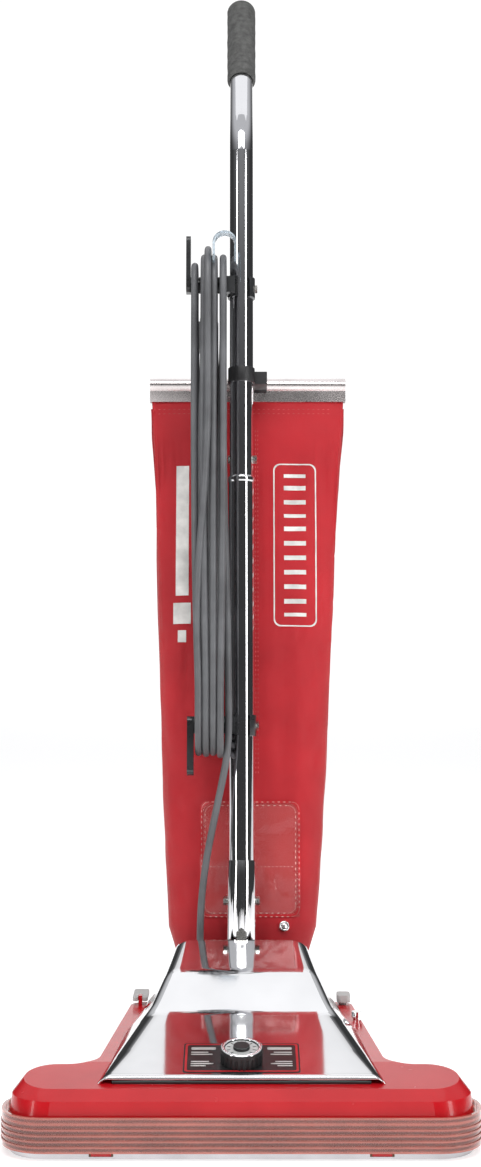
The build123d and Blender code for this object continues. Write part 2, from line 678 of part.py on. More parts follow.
def hook_base(along, tube_r, reach):
    base = rod((0, 0, along - 11), (0, 0, along + 11), tube_r + 2.2)
    base = base & box(-30, -4, -30, 30, along - 20, along + 20)
    base = base + box(reach, -7, HOOK_FORWARD - 6, HOOK_FORWARD + 14, along - 9, along + 9)
    base = base - rod((0, 0, along - 20), (0, 0, along + 20), tube_r + 0.02)
    return base - rod((-30, 0, along), (0, 0, along), 2.55)


def saddle(along, tube_r):
    block = rod((0, 0, along - 11), (0, 0, along + 11), tube_r + 2.2)
    block = block & box(9, 30, -30, 30, along - 20, along + 20)
    block = block - rod((0, 0, along - 20), (0, 0, along + 20), tube_r + 0.02)
    return block - rod((0, 0, along), (30, 0, along), 2.55)


def make_upper_hook_base():
    base = hook_base(HOOK_UPPER_R, TUBE_UPPER_R, -17.2)
    base = base + rod((-16, HOOK_FORWARD, HOOK_UPPER_R), (-38, HOOK_FORWARD, HOOK_UPPER_R), 3)
    return [base, saddle(HOOK_UPPER_R, TUBE_UPPER_R)]


def make_lower_hook():
    base = hook_base(HOOK_LOWER_R, TUBE_LOWER_R, -18.0)
    base = base + hook_arm(HOOK_LOWER_R, -16.0, -50.2, -57.2, -53)
    return [base, saddle(HOOK_LOWER_R, TUBE_LOWER_R)]


def hook_bolt(along, tube_r):
    out = tube_r + 2.3
    return rod((-out + 0.4, 0, along), (out, 0, along), 2.5) + hexagon((out, 0, along), (out + 2.4, 0, along), 8)


def make_hanger_bracket():
    band = ring((0, 0, CHANNEL_R - 8), (0, 0, CHANNEL_R + 8), TUBE_UPPER_R + 1.8, TUBE_UPPER_R + 0.02)
    arm = box(10, 28, 8, 36, CHANNEL_R - 7, CHANNEL_R + 7) - rod(
        (0, 0, CHANNEL_R - 20), (0, 0, CHANNEL_R + 20), TUBE_UPPER_R + 0.02)
    hook = rod((14, CHANNEL_Y, CHANNEL_R), (28, CHANNEL_Y, CHANNEL_R), CHANNEL_ROLL_R + 2.6)
    bracket = band + arm + hook
    bracket = bracket - rod((0, CHANNEL_Y, CHANNEL_R), (40, CHANNEL_Y, CHANNEL_R), CHANNEL_ROLL_R + 0.5)
    return bracket - box(5, 40, CHANNEL_Y - 5, CHANNEL_Y + 5, CHANNEL_R - 20, CHANNEL_R - 4)


def make_bag_channel():
    x0, x1 = CHANNEL_X
    roll = ring((x0, CHANNEL_Y, CHANNEL_R), (x1, CHANNEL_Y, CHANNEL_R), CHANNEL_ROLL_R, CHANNEL_ROLL_R - 1.6)
    roll = roll - box(x0 - 1, x1 + 1, CHANNEL_Y - 2.4, CHANNEL_Y + 2.4, CHANNEL_R - 12, CHANNEL_R - 3)
    for side in (-1, 1):
        inner = CHANNEL_Y + side * 2.4
        outer = CHANNEL_Y + side * 4.2
        low, high = min(inner, outer), max(inner, outer)
        roll = roll + box(x0, x1, low, high, CHANNEL_R - 19, CHANNEL_R - 5.2)
    # a cap closes the right end, which comes off the bead last
    return roll + rod((x1 - 2, CHANNEL_Y, CHANNEL_R), (x1, CHANNEL_Y, CHANNEL_R), CHANNEL_ROLL_R - 1)


def make_bag_body():
    stations = [(100, 1.0, 164, 28, 60), (171, 2.0, 174, 26, 80), (278, 3.0, 187, 25, 98),
                (389, 3.5, 197, 25, 96), (500, 4.5, 205, 26, 76), (600, 6.0, 208, 31, 44),
                (660, 6.8, 210, 38, 16)]
    sections = []
    for along, centre, width, front, deep in stations:
        level = Plane(origin=(centre, front + deep / 2, along), x_dir=(1, 0, 0), z_dir=(0, 0, 1))
        sections.append(level * RectangleRounded(width, deep, min(26, deep * 0.42)))
    bag = loft(sections, ruled=True)
    # hem and the bead that the channel slides over
    x0, x1 = CHANNEL_X[0] + 3, CHANNEL_X[1] - 4
    bag = bag + box(x0, x1, CHANNEL_Y - 1.6, CHANNEL_Y + 1.6, 655, CHANNEL_R)
    return bag + rod((x0, CHANNEL_Y, CHANNEL_R), (x1, CHANNEL_Y, CHANNEL_R), CHANNEL_ROLL_R - 2.4)


def make_bag_sleeve():
    """Lower end of the bag, which bends when the handle is tilted. Built upright."""
    top = Plane(origin=handle_point(1, 58, 99.7), x_dir=(1, 0, 0),
                z_dir=Vector(*handle_point(0, 0, 1)) - Vector(*handle_point(0, 0, 0)))
    sections = [top * RectangleRounded(163.6, 60, 25)]
    for z, half, front, rear, radius in ((124, 76, 133, 191, 24), (94, 60, 142, 198, 22),
                                         (70, 40, 172, 205, 15), (46, 28, 177.2, 206, 12),
                                         (26, 22, 180, 200, 9)):
        sections.append(Pos(0, (front + rear) / 2, z) * RectangleRounded(2 * half, rear - front, radius))
    sleeve = loft(sections, ruled=True)
    neck = ring((0, 160, PORT_Z), (0, 180, PORT_Z), 18.5, PORT_R + 0.05)
    sleeve = sleeve + neck
    return sleeve - rod((0, 150, PORT_Z), (0, PORT_END_Y + 0.2, PORT_Z), PORT_R + 0.05)


# ---------------------------------------------------------------- pedals, terminal box
def make_foot_switch():
    cap = box(102, 116, 138, 160, 70.5, 78)
    cap = fillet(cap.edges().filter_by(Axis.Z), 4)
    return cap + rod((108, 149, 58), (108, 149, 71), 4.0)


def make_release_pedal():
    pedal = box(-116, -100, 138, 182, 72, 76)
    pedal = fillet(pedal.edges().filter_by(Axis.Z), 4)
    pedal = pedal - box(-110.4, -105.6, 137, 151, 70, 80)
    return pedal + rod((-114.5, 146, 74), (-101.5, 146, 74), 2.5)


def make_terminal_box():
    outline = [(90, 82), (90, 100), (115.4, 100), (123.2, 92), (123.2, 82)]
    case = prism_x(outline, -50, -36)
    return case - box(-48, -38, 92, 112, 84, 98)


def make_cord_gland():
    base = rod(handle_point(-43, 13, 43.6), handle_point(-43, 13, 48), 6.5)
    low = Plane(origin=handle_point(-43, 13, 48), z_dir=tube_way())
    high = Plane(origin=handle_point(-43, 13, 68), z_dir=tube_way())
    taper = loft([low * Circle(6.2), high * Circle(4.9)])
    gland = base + taper
    gland = gland - box(-60, -30, 80, 130, 80, 100.05)
    return gland - rod(handle_point(-43, 13, 65.9), handle_point(-43, 13, 70), CORD_D / 2 + 0.15)


def tube_way():
    lean = math.radians(LEAN)
    return (0, math.sin(lean), math.cos(lean))


# ---------------------------------------------------------------- cord
# (x, behind the tube's axis, along the tube from the pivot)
CORD_LOWER_ROUTE = [(-43.0, 13.0, 66.0), (-43.6, 13.2, 90.0), (-42.6, 9.0, 125.0), (-38.0, 2.0, 165.0),
                    (-30.2, -6.0, 205.0), (-23.4, -11.5, 243.0), (-20.2, -14.0, 278.6)]
CORD_TAIL_ROUTE = [(-36.0, -4.0, 816.0), (-36.0, 14.0, 812.0), (-36.5, 26.0, 798.0), (-37.4, 31.5, 782.0),
                   (-38.0, 33.0, 765.4)]


def cord_tube(route):
    """Straight runs joined by arcs as large as the runs allow."""
    points = [Vector(*handle_point(*spot)) for spot in route]
    runs = [b - a for a, b in zip(points, points[1:])]
    radii = []
    for before, after in zip(runs, runs[1:]):
        turn = math.radians(before.get_angle(after))
        radii.append(0.45 * min(before.length, after.length) / math.tan(turn / 2))
    path = FilletPolyline(*points, radius=radii)
    tube = sweep(Plane(origin=points[0], z_dir=runs[0]) * Circle(CORD_D / 2), path=path)
    expected = math.pi * (CORD_D / 2) ** 2 * path.length
    print("cord runs", [round(r.length, 1) for r in runs], "radii", [round(r, 1) for r in radii],
          "length", round(path.length, 1), "volume ratio", round(tube.volume / expected, 4))
    return tube


def make_cord_hank():
    """Outer shape of the turns wound round the two hook arms."""
    length = HOOK_UPPER_R - HOOK_LOWER_R
    middle = (HOOK_UPPER_R + HOOK_LOWER_R) / 2
    side = Plane(origin=(-60, HOOK_FORWARD, middle), x_dir=(0, 1, 0), z_dir=(1, 0, 0))
    loop = side * (Rot(0, 0, 90) * (SlotCenterToCenter(length, 2 * HANK_OUTER)
                                    - SlotCenterToCenter(length, 2 * HANK_INNER)))
    hank = extrude(loop, 60)
    outline = [(-53.0, 830), (-54.4, 430), (-53.6, 365), (-48.8, 335), (-48.6, 270), (-18.4, 270),
               (-18.4, 335), (-15.5, 365), (-15.5, 740), (-18.4, 765), (-18.4, 830)]
    return hank & prism_y(outline, -60, 60)


def make_plug_body():
    """The plug hangs behind the hank, its cord entering from above and its pins pointing down."""
    relief = rod((PLUG_X, PLUG_BACK, PLUG_TOP - 7), (PLUG_X, PLUG_BACK, PLUG_TOP), 8)
    face = Pos(PLUG_X, PLUG_BACK, PLUG_FACE) * RectangleRounded(25, 22, 7)
    return relief + extrude(face, PLUG_TOP - 6 - PLUG_FACE)


def make_plug_pins():
    ground = PLUG_BACK - 5.5
    pins = [rod((PLUG_X, ground, PLUG_FACE - 20), (PLUG_X, ground, PLUG_FACE), 2.4)]
    for side in (-1, 1):
        x = PLUG_X + side * 6.35
        pins.append(box(x - 0.75, x + 0.75, PLUG_BACK + 2.4, PLUG_BACK + 8.6, PLUG_FACE - 18, PLUG_FACE))
    return pins


def make_cord_clip():
    outline = SlotCenterToCenter(40, 26) - SlotCenterToCenter(40, 20.5)
    face = Plane(origin=(-18, -43.0, 805), x_dir=(1, 0, 0), z_dir=(0, -1, 0)) * (Rot(0, 0, 90) * outline)
    clip = extrude(face, 11) - box(-40, 10, -70, 0, 760, 806)
    return clip


# ---------------------------------------------------------------- assembly
upright = {
    "nozzle_housing": make_nozzle_housing(),
    "bumper": make_bumper(),
    "sole_plate": make_sole_plate(),
    "motor_hood": make_motor_hood(),
    "label_plate": make_label_plate(),
    "thumb_screw": make_thumb_screw(),
    "rear_cover": make_rear_cover(),
    "motor_bed": make_motor_bed(),
    "bail_brackets": make_bail_brackets(),
    "pivot_pins": make_pivot_pins(),
    "rear_axles": make_rear_axles(),
    "fan_housing": make_fan_housing(),
    "intake_duct": make_intake_duct(),
    "motor_frame": make_motor_frame(),
    "motor_field": make_motor_field(),
    "motor_bearings": make_motor_bearings(),
    "carbon_brushes": make_carbon_brushes(),
    "exhaust_duct": make_exhaust_duct(),
    "neck_clamp": make_neck_clamp(),
    "terminal_box": make_terminal_box(),
    "cord_gland": make_cord_gland(),
    "roll_bearings": make_roll_bearings(),
    "bag_sleeve": make_bag_sleeve(),
    "drive_belt": make_drive_belt(),
    "motor_shaft": rod((0, -107, MOTOR_Z), (0, 104, MOTOR_Z), 4),
    "armature": make_armature(),
    "commutator": make_commutator(),
    "fan": make_fan(),
    "motor_pulley": make_motor_pulley(),
    "brush_core": make_brush_core(),
    "bristle_strips": make_bristle_strips(),
    "rear_wheel_left": mirror(wheel(88, 102, REAR_WHEEL_Y, REAR_WHEEL_R, 4 + RUN_CLEAR), about=Plane.YZ),
    "rear_wheel_right": wheel(88, 102, REAR_WHEEL_Y, REAR_WHEEL_R, 4 + RUN_CLEAR),
    "front_wheel_left": mirror(wheel(54, 66, FRONT_WHEEL_Y, FRONT_WHEEL_R, 2.5 + RUN_CLEAR),
                               about=Plane.YZ),
    "front_wheel_right": wheel(54, 66, FRONT_WHEEL_Y, FRONT_WHEEL_R, 2.5 + RUN_CLEAR),
    "front_carriage": make_front_carriage(),
    "dial_knob": make_dial_knob(),
    "dial_face": make_dial_face(),
    "dial_cam": make_dial_cam(),
    "foot_switch": make_foot_switch(),
    "release_pedal": make_release_pedal(),
    "cord_lower": cord_tube(CORD_LOWER_ROUTE),
    "cord_tail": cord_tube(CORD_TAIL_ROUTE),
}

handle_bolts = make_handle_bolts() + [hook_bolt(HOOK_UPPER_R, TUBE_UPPER_R),
                                      hook_bolt(HOOK_LOWER_R, TUBE_LOWER_R)]

leaning = {
    "bail_arm_left": bail_half(-1),
    "bail_arm_right": bail_half(1),
    "handle_socket": make_handle_socket(),
    "handle_bolts": solids(handle_bolts),
    "lower_tube": make_lower_tube(),
    "upper_tube": make_upper_tube(),
    "grip": make_grip(),
    "upper_hook_base": solids(make_upper_hook_base()),
    "lower_hook": solids(make_lower_hook()),
    "hanger_bracket": make_hanger_bracket(),
    "upper_hook": make_upper_hook(),
    "bag_body": make_bag_body(),
    "bag_channel": make_bag_channel(),
    "cord_hank": make_cord_hank(),
    "plug_body": make_plug_body(),
    "plug_pins": solids(make_plug_pins()),
    "cord_clip": make_cord_clip(),
}

nodes = dict(upright)
for name, shape in leaning.items():
    nodes[name] = HANDLE_FRAME * shape

# the origin goes under the middle of the machine, from the bumper's front to the grip's end
front_y = nodes["bumper"].bounding_box().min.Y
rear_y = nodes["grip"].bounding_box().max.Y
FRAME_SHIFT_Y = -(front_y + rear_y) / 2
print("frame shift", round(FRAME_SHIFT_Y, 3))

for name, shape in nodes.items():
    placed = solids([Pos(0, FRAME_SHIFT_Y, 0) * piece for piece in shape.solids()])
    export_step(placed, f"parts/{name}.step")
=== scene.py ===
import json
import math
import random

import bmesh
import bpy
import numpy
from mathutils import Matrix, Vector, noise
from mathutils.bvhtree import BVHTree

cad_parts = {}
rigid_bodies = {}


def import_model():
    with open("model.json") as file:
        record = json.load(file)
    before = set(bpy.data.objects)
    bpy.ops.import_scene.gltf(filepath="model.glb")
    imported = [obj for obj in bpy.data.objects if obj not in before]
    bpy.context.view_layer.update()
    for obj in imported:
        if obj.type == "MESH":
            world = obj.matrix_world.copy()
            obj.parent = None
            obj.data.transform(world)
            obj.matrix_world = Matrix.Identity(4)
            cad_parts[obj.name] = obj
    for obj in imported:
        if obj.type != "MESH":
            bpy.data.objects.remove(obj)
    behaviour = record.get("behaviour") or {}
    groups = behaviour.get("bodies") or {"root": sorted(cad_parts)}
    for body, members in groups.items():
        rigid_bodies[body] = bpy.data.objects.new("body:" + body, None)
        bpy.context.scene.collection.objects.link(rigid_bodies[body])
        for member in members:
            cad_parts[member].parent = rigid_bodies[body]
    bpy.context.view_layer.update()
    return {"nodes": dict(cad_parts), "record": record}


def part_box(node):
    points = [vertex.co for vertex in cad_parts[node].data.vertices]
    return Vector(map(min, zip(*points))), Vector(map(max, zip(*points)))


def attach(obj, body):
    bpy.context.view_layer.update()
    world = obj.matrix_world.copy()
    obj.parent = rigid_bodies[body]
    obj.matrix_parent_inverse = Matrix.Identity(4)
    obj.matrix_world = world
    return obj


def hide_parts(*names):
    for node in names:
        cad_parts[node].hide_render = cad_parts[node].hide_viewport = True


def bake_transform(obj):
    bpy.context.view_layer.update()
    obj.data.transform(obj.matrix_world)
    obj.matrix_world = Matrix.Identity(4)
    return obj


for item in [o for o in bpy.data.objects if o.name in ("Cube", "Light", "Camera")]:
    bpy.data.objects.remove(item)

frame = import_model()

# The handle leans back about its pivot, which is the joint handle_tilt.
LEAN = math.radians(8.0)
JOINT = {j["name"]: j for j in frame["record"]["behaviour"]["joints"]}
PIVOT = Vector(JOINT["handle_tilt"]["pos_m"])
UP = Vector((0, math.sin(LEAN), math.cos(LEAN)))
BACK = Vector((0, math.cos(LEAN), -math.sin(LEAN)))
PIVOT_DESIGN_Y = 0.086
SHIFT_Y = PIVOT.y - PIVOT_DESIGN_Y          # from the design's y to the shared frame's


def hp(x, back, along):
    """A point of the handle, in mm: across, behind the tube's axis, and along the tube from the pivot."""
    return PIVOT + Vector((x / 1000, 0, 0)) + BACK * (back / 1000) + UP * (along / 1000)


def dp(x, y, z):
    """A point of the base, given in the design's millimetres."""
    return Vector((x / 1000, y / 1000 + SHIFT_Y, z / 1000))


# ------------------------------------------------------------------ camera
LENS_MM, SENSOR_MM = 59.6, 36.0
CAMERA_AT = (-0.001, -1.92 + SHIFT_Y, 0.517)
camera_data = bpy.data.cameras.new("camera")
camera_data.lens = LENS_MM
camera_data.sensor_width = SENSOR_MM
camera = bpy.data.objects.new("camera", camera_data)
bpy.context.collection.objects.link(camera)
camera.location = CAMERA_AT
camera.rotation_euler = (math.radians(90), 0, 0)
bpy.context.scene.camera = camera


# ------------------------------------------------------------------ mesh helpers
def add_object(name, data):
    item = bpy.data.objects.new(name, data)
    bpy.context.collection.objects.link(item)
    return item


def mesh_object(name, points, faces, smooth=True):
    mesh = bpy.data.meshes.new(name)
    mesh.from_pydata([tuple(p) for p in points], [], faces)
    mesh.validate()
    mesh.update()
    if smooth:
        mesh.polygons.foreach_set("use_smooth", [True] * len(mesh.polygons))
    return add_object(name, mesh)


def grid_faces(rows, columns, closed=False):
    """Four-sided faces over rows of points; closed joins each row's last point to its first."""
    faces = []
    for r in range(rows - 1):
        near, far = r * columns, (r + 1) * columns
        for c in range(columns if closed else columns - 1):
            d = (c + 1) % columns
            faces.append((near + c, near + d, far + d, far + c))
    return faces


def lathe(name, origin, axis, profile, steps=48):
    """Revolves (radius, height) pairs, in mm, about an axis."""
    axis = Vector(axis).normalized()
    side = axis.orthogonal().normalized()
    other = axis.cross(side)
    points = []
    for radius, height in profile:
        for i in range(steps):
            turn = 2 * math.pi * i / steps
            points.append(Vector(origin) + axis * (height / 1000)
                          + (side * math.cos(turn) + other * math.sin(turn)) * (radius / 1000))
    return mesh_object(name, points, grid_faces(len(profile), steps, closed=True))


def tube(name, line, radius, steps):
    """Mesh tube with closed ends along a line of points in metres."""
    points = []
    normal = None
    for i, spot in enumerate(line):
        way = (line[min(i + 1, len(line) - 1)] - line[max(i - 1, 0)]).normalized()
        if normal is None:
            normal = way.orthogonal().normalized()
        normal = (normal - way * normal.dot(way)).normalized()
        other = way.cross(normal)
        for k in range(steps):
            turn = 2 * math.pi * k / steps
            points.append(spot + normal * (math.cos(turn) * radius) + other * (math.sin(turn) * radius))
    faces = grid_faces(len(line), steps, closed=True)
    faces.append(tuple(range(steps))[::-1])
    faces.append(tuple(range(len(points) - steps, len(points))))
    return mesh_object(name, points, faces)


def joined(name, items):
    """Several mesh objects as one."""
    merged = bmesh.new()
    for item in items:
        mesh = item.data
        merged.from_mesh(mesh)
        bpy.data.objects.remove(item)
        bpy.data.meshes.remove(mesh)
    mesh = bpy.data.meshes.new(name)
    merged.to_mesh(mesh)
    merged.free()
    mesh.polygons.foreach_set("use_smooth", [True] * len(mesh.polygons))
    return add_object(name, mesh)


# ------------------------------------------------------------------ power cord
# in the handle's mm; the two hooks' centres are at heights UPPER and LOWER, in front of the tube's axis
CORD_R = 3.75
UPPER, LOWER, HOOK_BACK = 789.0, 311.0, -14.0
NEAR_HOOK = 45                               # how far from a hook's centre a strand starts to bend
FRONT_RISE, BACK_FALL, FRONT_LOW = 610.0, 560.0, 440.0    # where a strand is guided between the hooks
HOOK_STEPS = 4
CURVE_PULL = 0.925                           # the curve's radius over that of its control points
TOP_X = [-19.8, -29.6, -40.2, -50.5]         # the four columns at the upper hook
LOW_X = [-22.2, -29.7, -37.3, -44.9]         # and pressed together at the lower one
LAYER = [13.2, 20.8, 28.3, 35.6]             # radius of each layer of cord about a hook
OUTER = 2                                    # the layer that shows
chance = random.Random(5)


def hook_arc(centre, radius_in, radius_out, x_in, x_out, side):
    """Control points round a hook arm, from the front over to the back (side 1) or back to front (-1)."""
    points = []
    for k in range(HOOK_STEPS + 1):
        share = k / HOOK_STEPS
        turn = math.pi * share
        radius = (radius_in + (radius_out - radius_in) * share) / CURVE_PULL
        x = x_in + (x_out - x_in) * share
        across = -math.cos(turn) * side
        points.append((x, HOOK_BACK + radius * across, centre + side * radius * math.sin(turn)))
    return points


def cord_route():
    """Control points from the gland up to the hooks, eleven and a half turns round them, and the tail."""
    points = [(-43.0, 13.0, 66.0), (-43.6, 13.2, 90.0), (-42.6, 9.0, 125.0), (-38.0, 2.0, 165.0),
              (-30.2, -6.0, 205.0), (-22.0, -13.5, 243.0), (-15.2, -22.5, 276.0), (-13.2, -27.0, 306.0),
              (-13.6, -27.4, 345.0), (-15.0, -27.2, 420.0)]
    order = [(k, 0) for k in range(4)] + [(k, 1) for k in (3, 2, 1, 0)] + [(k, OUTER) for k in range(4)]
    for i, (column, layer) in enumerate(order):
        radius = LAYER[layer]
        last = i == len(order) - 1
        x = TOP_X[column]
        rise = chance.uniform(0, 2.4) if layer == OUTER else 0
        if last:
            x, radius, rise = -36.0, LAYER[3], 0.5
        front = HOOK_BACK - radius
        bow = chance.uniform(-1.2, 1.2)
        points.append((x + (bow if layer == OUTER else 0), front - (0.8 if layer == OUTER else 0), FRONT_RISE))
        points.append((x, front, UPPER - NEAR_HOOK))
        after = order[i + 1] if not last else None
        out = LAYER[after[1]] if after else 42.0
        points += hook_arc(UPPER + rise, radius, out, x, x if after else -36.5, 1)
        if last:
            points += [(-37.6, 31.8, 777.0), (-38.0, 33.0, 765.4)]
            return points
        low_x = LOW_X[after[0]]
        radius = LAYER[after[1]]
        back = HOOK_BACK + radius
        points.append((x, back, UPPER - NEAR_HOOK))
        points.append(((x + TOP_X[after[0]]) / 2, back, BACK_FALL))
        points.append((low_x, back, LOWER + NEAR_HOOK))
        drop = chance.uniform(0, 3.0) if after[1] == OUTER else 0
        points += hook_arc(LOWER - drop, radius, radius, low_x, low_x, -1)
        points.append((low_x, HOOK_BACK - radius, LOWER + NEAR_HOOK))
        points.append((low_x * 0.4 + TOP_X[after[0]] * 0.6, HOOK_BACK - radius, FRONT_LOW))


cord_points = [hp(*spot) for spot in cord_route()]
curve = bpy.data.curves.new("cord_line", "CURVE")
curve.dimensions = "3D"
spline = curve.splines.new("NURBS")
spline.points.add(len(cord_points) - 1)
for point, spot in zip(spline.points, cord_points):
    point.co = (*spot, 1.0)
spline.order_u = 3
spline.use_endpoint_u = True
spline.resolution_u = 5
curve_object = add_object("cord_line", curve)
line_mesh = bpy.data.meshes.new_from_object(curve_object)
cord_line = [v.co.copy() for v in line_mesh.vertices]
bpy.data.objects.remove(curve_object)
cord = tube("power_cord", cord_line, CORD_R / 1000, steps=14)
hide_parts("cord_lower", "cord_hank", "cord_tail")
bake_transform(cord)


# ------------------------------------------------------------------ bag
# (along, centre x, half width, front behind the axis, depth), from the bottom of the handle's part up
BAG_TABLE = [(100, 1.0, 82, 28, 60), (171, 2.0, 87, 26, 80), (278, 3.0, 93.5, 25, 98),
             (389, 3.5, 98.5, 25, 95), (500, 4.5, 102.5, 26.5, 75), (580, 5.6, 104, 31, 48),
             (630, 6.4, 104.6, 36, 24), (660, 6.8, 105, 40.5, 9), (676, 7.0, 106, 43.2, 3.6),
             (690, 7.0, 106, 43.6, 2.8)]
# heights of the rings of points: listed in the top hem, then one every 7 mm down the cloth
HANDLE_LEVELS = [690, 683, 676, 670, 665] + [660 - 7.0 * k for k in range(81)]
# the sleeve below it: (centre y, centre z, half x, half depth, tilt in degrees), in the design's mm
SLEEVE = [(161.5, 124, 75.5, 28.5, 0), (164.5, 108, 69, 28, 2), (171.5, 92, 59, 26.5, 6),
          (181, 77, 47, 21, 14), (188.5, 65, 36, 18.5, 30), (190.5, 55, 27.5, 17.5, 52),
          (187, 49, 22, 18, 74), (180, 46.5, 19.6, 18.6, 88), (174, 46, 18.2, 18.2, 90),
          (167.5, 46, 17.6, 17.6, 90), (162, 46, 18.4, 18.4, 90)]
SLEEVE_STEPS = 4                             # rings from one row of SLEEVE to the next
AROUND = 144                                 # points in a ring
BAG_SQUARENESS = 0.52                        # 1 is an ellipse, less is squarer
SLEEVE_SQUARENESS = 0.62
PLEATS = 22                                  # gathers round the sleeve


def blended(table, value):
    """Catmull-Rom through a table's rows."""
    last = len(table) - 1
    k = max(i for i in range(last) if value >= table[i][0] or i == 0)
    rows = [table[max(0, k - 1)], table[k], table[k + 1], table[min(last, k + 2)]]
    t = min(1.0, max(0.0, (value - rows[1][0]) / (rows[2][0] - rows[1][0])))
    result = []
    for c in range(1, len(rows[0])):
        a, b, d, e = (row[c] for row in rows)
        result.append(0.5 * (2 * b + (d - a) * t + (2 * a - 5 * b + 4 * d - e) * t ** 2
                             + (3 * b - a - 3 * d + e) * t ** 3))
    return result


def bag_outline(turn, power):
    """A point of a rounded rectangle of half sizes 1 and 1."""
    c, s = math.cos(turn), math.sin(turn)
    return math.copysign(abs(c) ** power, c), math.copysign(abs(s) ** power, s)


def bag_folds(x, along, face):
    """Height of the cloth's folds in mm: long soft ones that hang, small ones that cross them."""
    seed = 11.0 if face > 0 else 47.0
    low = min(1.0, max(0.0, (660 - along) / 120))
    hang = noise.noise(Vector((x / 26 + seed, along / 150, seed))) * 3.2
    cross = noise.noise(Vector((x / 60, along / 34 + seed, 3.0))) * 1.5
    crease = 1 - abs(noise.noise(Vector((x / 38 - along / 90, along / 46 + x / 80, seed + 5)))) * 3.2
    sag = max(0.0, 1 - abs(along - 150) / 90) * math.sin(along / 9.5 + x / 40) * 1.3
    pleat = max(0.0, 1 - abs(along - 655) / 40) * math.sin(x / 5.2) * 0.5
    return (hang + cross + max(0.0, crease) ** 3 * 1.6 + sag) * low + pleat


def bag_rings():
    """Rings of points from the top hem down the bag, then down the sleeve to its neck on the exhaust port."""
    rings = []
    for along in HANDLE_LEVELS:
        cx, half, front, deep = blended(BAG_TABLE, along)
        ring = []
        power = BAG_SQUARENESS if along > 250 else BAG_SQUARENESS + (250 - along) / 150 * 0.12
        for i in range(AROUND):
            turn = 2 * math.pi * i / AROUND
            ux, uy = bag_outline(turn, power)
            x = cx + half * ux
            back = front + deep / 2 + deep / 2 * uy
            face = 1 if uy < 0 else -1
            flatness = min(1.0, abs(uy) * 1.6) * min(1.0, deep / 30)
            fold = bag_folds(x, along, face) * flatness
            back += fold if face > 0 else -fold
            x += noise.noise(Vector((face * 0.3, along / 45, 9.0))) * 1.2 * abs(ux) ** 3
            ring.append(hp(x, back, along))
        rings.append(ring)
    for k in range(len(SLEEVE) - 1):
        for step in range(1 if k == 0 else 0, SLEEVE_STEPS):
            t = step / SLEEVE_STEPS
            cy, cz, half, deep, tilt = (a + (b - a) * t for a, b in zip(SLEEVE[k], SLEEVE[k + 1]))
            ring = []
            gather = min(1.0, max(0.0, (k + t - 1) / 6))
            power = SLEEVE_SQUARENESS + 0.38 * gather
            angle = math.radians(tilt)
            away = Vector((0, math.cos(angle), -math.sin(angle)))
            swell = math.sin(math.pi * min(1, (k + t) / 8))
            for i in range(AROUND):
                turn = 2 * math.pi * i / AROUND
                ux, uy = bag_outline(turn, power)
                wave = math.sin(turn * PLEATS) * 1.1 * gather * (1 - 0.6 * max(0.0, (k + t - 7) / 3))
                wave += noise.noise(Vector((ux * 3, uy * 3, (k + t) * 0.7))) * 2.2 * swell
                x = half * ux + wave * ux + 1.0 * (1 - gather)
                spot = Vector((x, cy, cz)) + away * (deep * uy + wave * uy)
                ring.append(dp(*spot))
            rings.append(ring)
    return rings


rings = bag_rings()
bag = mesh_object("bag", [p for ring in rings for p in ring], grid_faces(len(rings), AROUND, closed=True))
bag.data.flip_normals()


def simulated(item, pinned, cap, frames):
    """Cloth with a little pressure; every point stays within cap metres of where it began."""
    rest = [v.co.copy() for v in item.data.vertices]
    group = item.vertex_groups.new(name="pin")
    for i, hold in enumerate(pinned):
        if hold > 0:
            group.add([i], hold, "REPLACE")
    cloth = item.modifiers.new("cloth", "CLOTH")
    cloth.settings.quality = 5
    cloth.settings.mass = 0.25
    cloth.settings.tension_stiffness = 30
    cloth.settings.compression_stiffness = 12
    cloth.settings.shear_stiffness = 8
    cloth.settings.bending_stiffness = 0.4
    cloth.settings.vertex_group_mass = "pin"
    cloth.settings.use_pressure = True
    cloth.settings.uniform_pressure_force = 1.2
    cloth.collision_settings.use_collision = False
    cloth.settings.effector_weights.gravity = 0.6
    cloth.point_cache.frame_end = frames
    for number in range(1, frames + 1):
        bpy.context.scene.frame_set(number)
    graph = bpy.context.evaluated_depsgraph_get()
    moved = [v.co.copy() for v in item.evaluated_get(graph).data.vertices]
    item.modifiers.remove(cloth)
    item.vertex_groups.remove(group)
    bpy.context.scene.frame_set(1)
    for vertex, start, end in zip(item.data.vertices, rest, moved):
        step = end - start
        if step.length > cap:
            step = step.normalized() * cap
        vertex.co = start + step
    item.data.update()


handle_rings = len(HANDLE_LEVELS)
TOP_HELD = 6                                 # the last ring held still at the top
NECK_HELD = handle_rings + 22                # from this ring on, the sleeve is held by its clamp
TOP_FADE, NECK_FADE = 6, 10                  # rings over which the hold lets go
CLOTH_CAP, CLOTH_FRAMES = 0.006, 14
held = []
for r in range(len(rings)):
    if r <= TOP_HELD or r >= NECK_HELD:
        hold = 1.0
    else:
        hold = max(0.0, 1 - (r - TOP_HELD) / TOP_FADE, 1 - (NECK_HELD - r) / NECK_FADE)
    held += [hold] * AROUND
simulated(bag, held, CLOTH_CAP, CLOTH_FRAMES)

BEFORE_BAG, INSIDE_BAG = -60, 40             # mm behind the tube's axis, so the first is in front of it
bag_tree = BVHTree.FromObject(bag, bpy.context.evaluated_depsgraph_get())


def on_bag(x, along, lift=0.0004):
    """The point of the bag's front in front of (x, along), and the way out of it."""
    start = hp(x, BEFORE_BAG, along)
    hit, normal, _, _ = bag_tree.ray_cast(start, BACK)
    if hit is None:
        hit, normal = hp(x, INSIDE_BAG, along), -BACK
    if normal.dot(BACK) > 0:
        normal = -normal
    return hit + normal * lift, normal


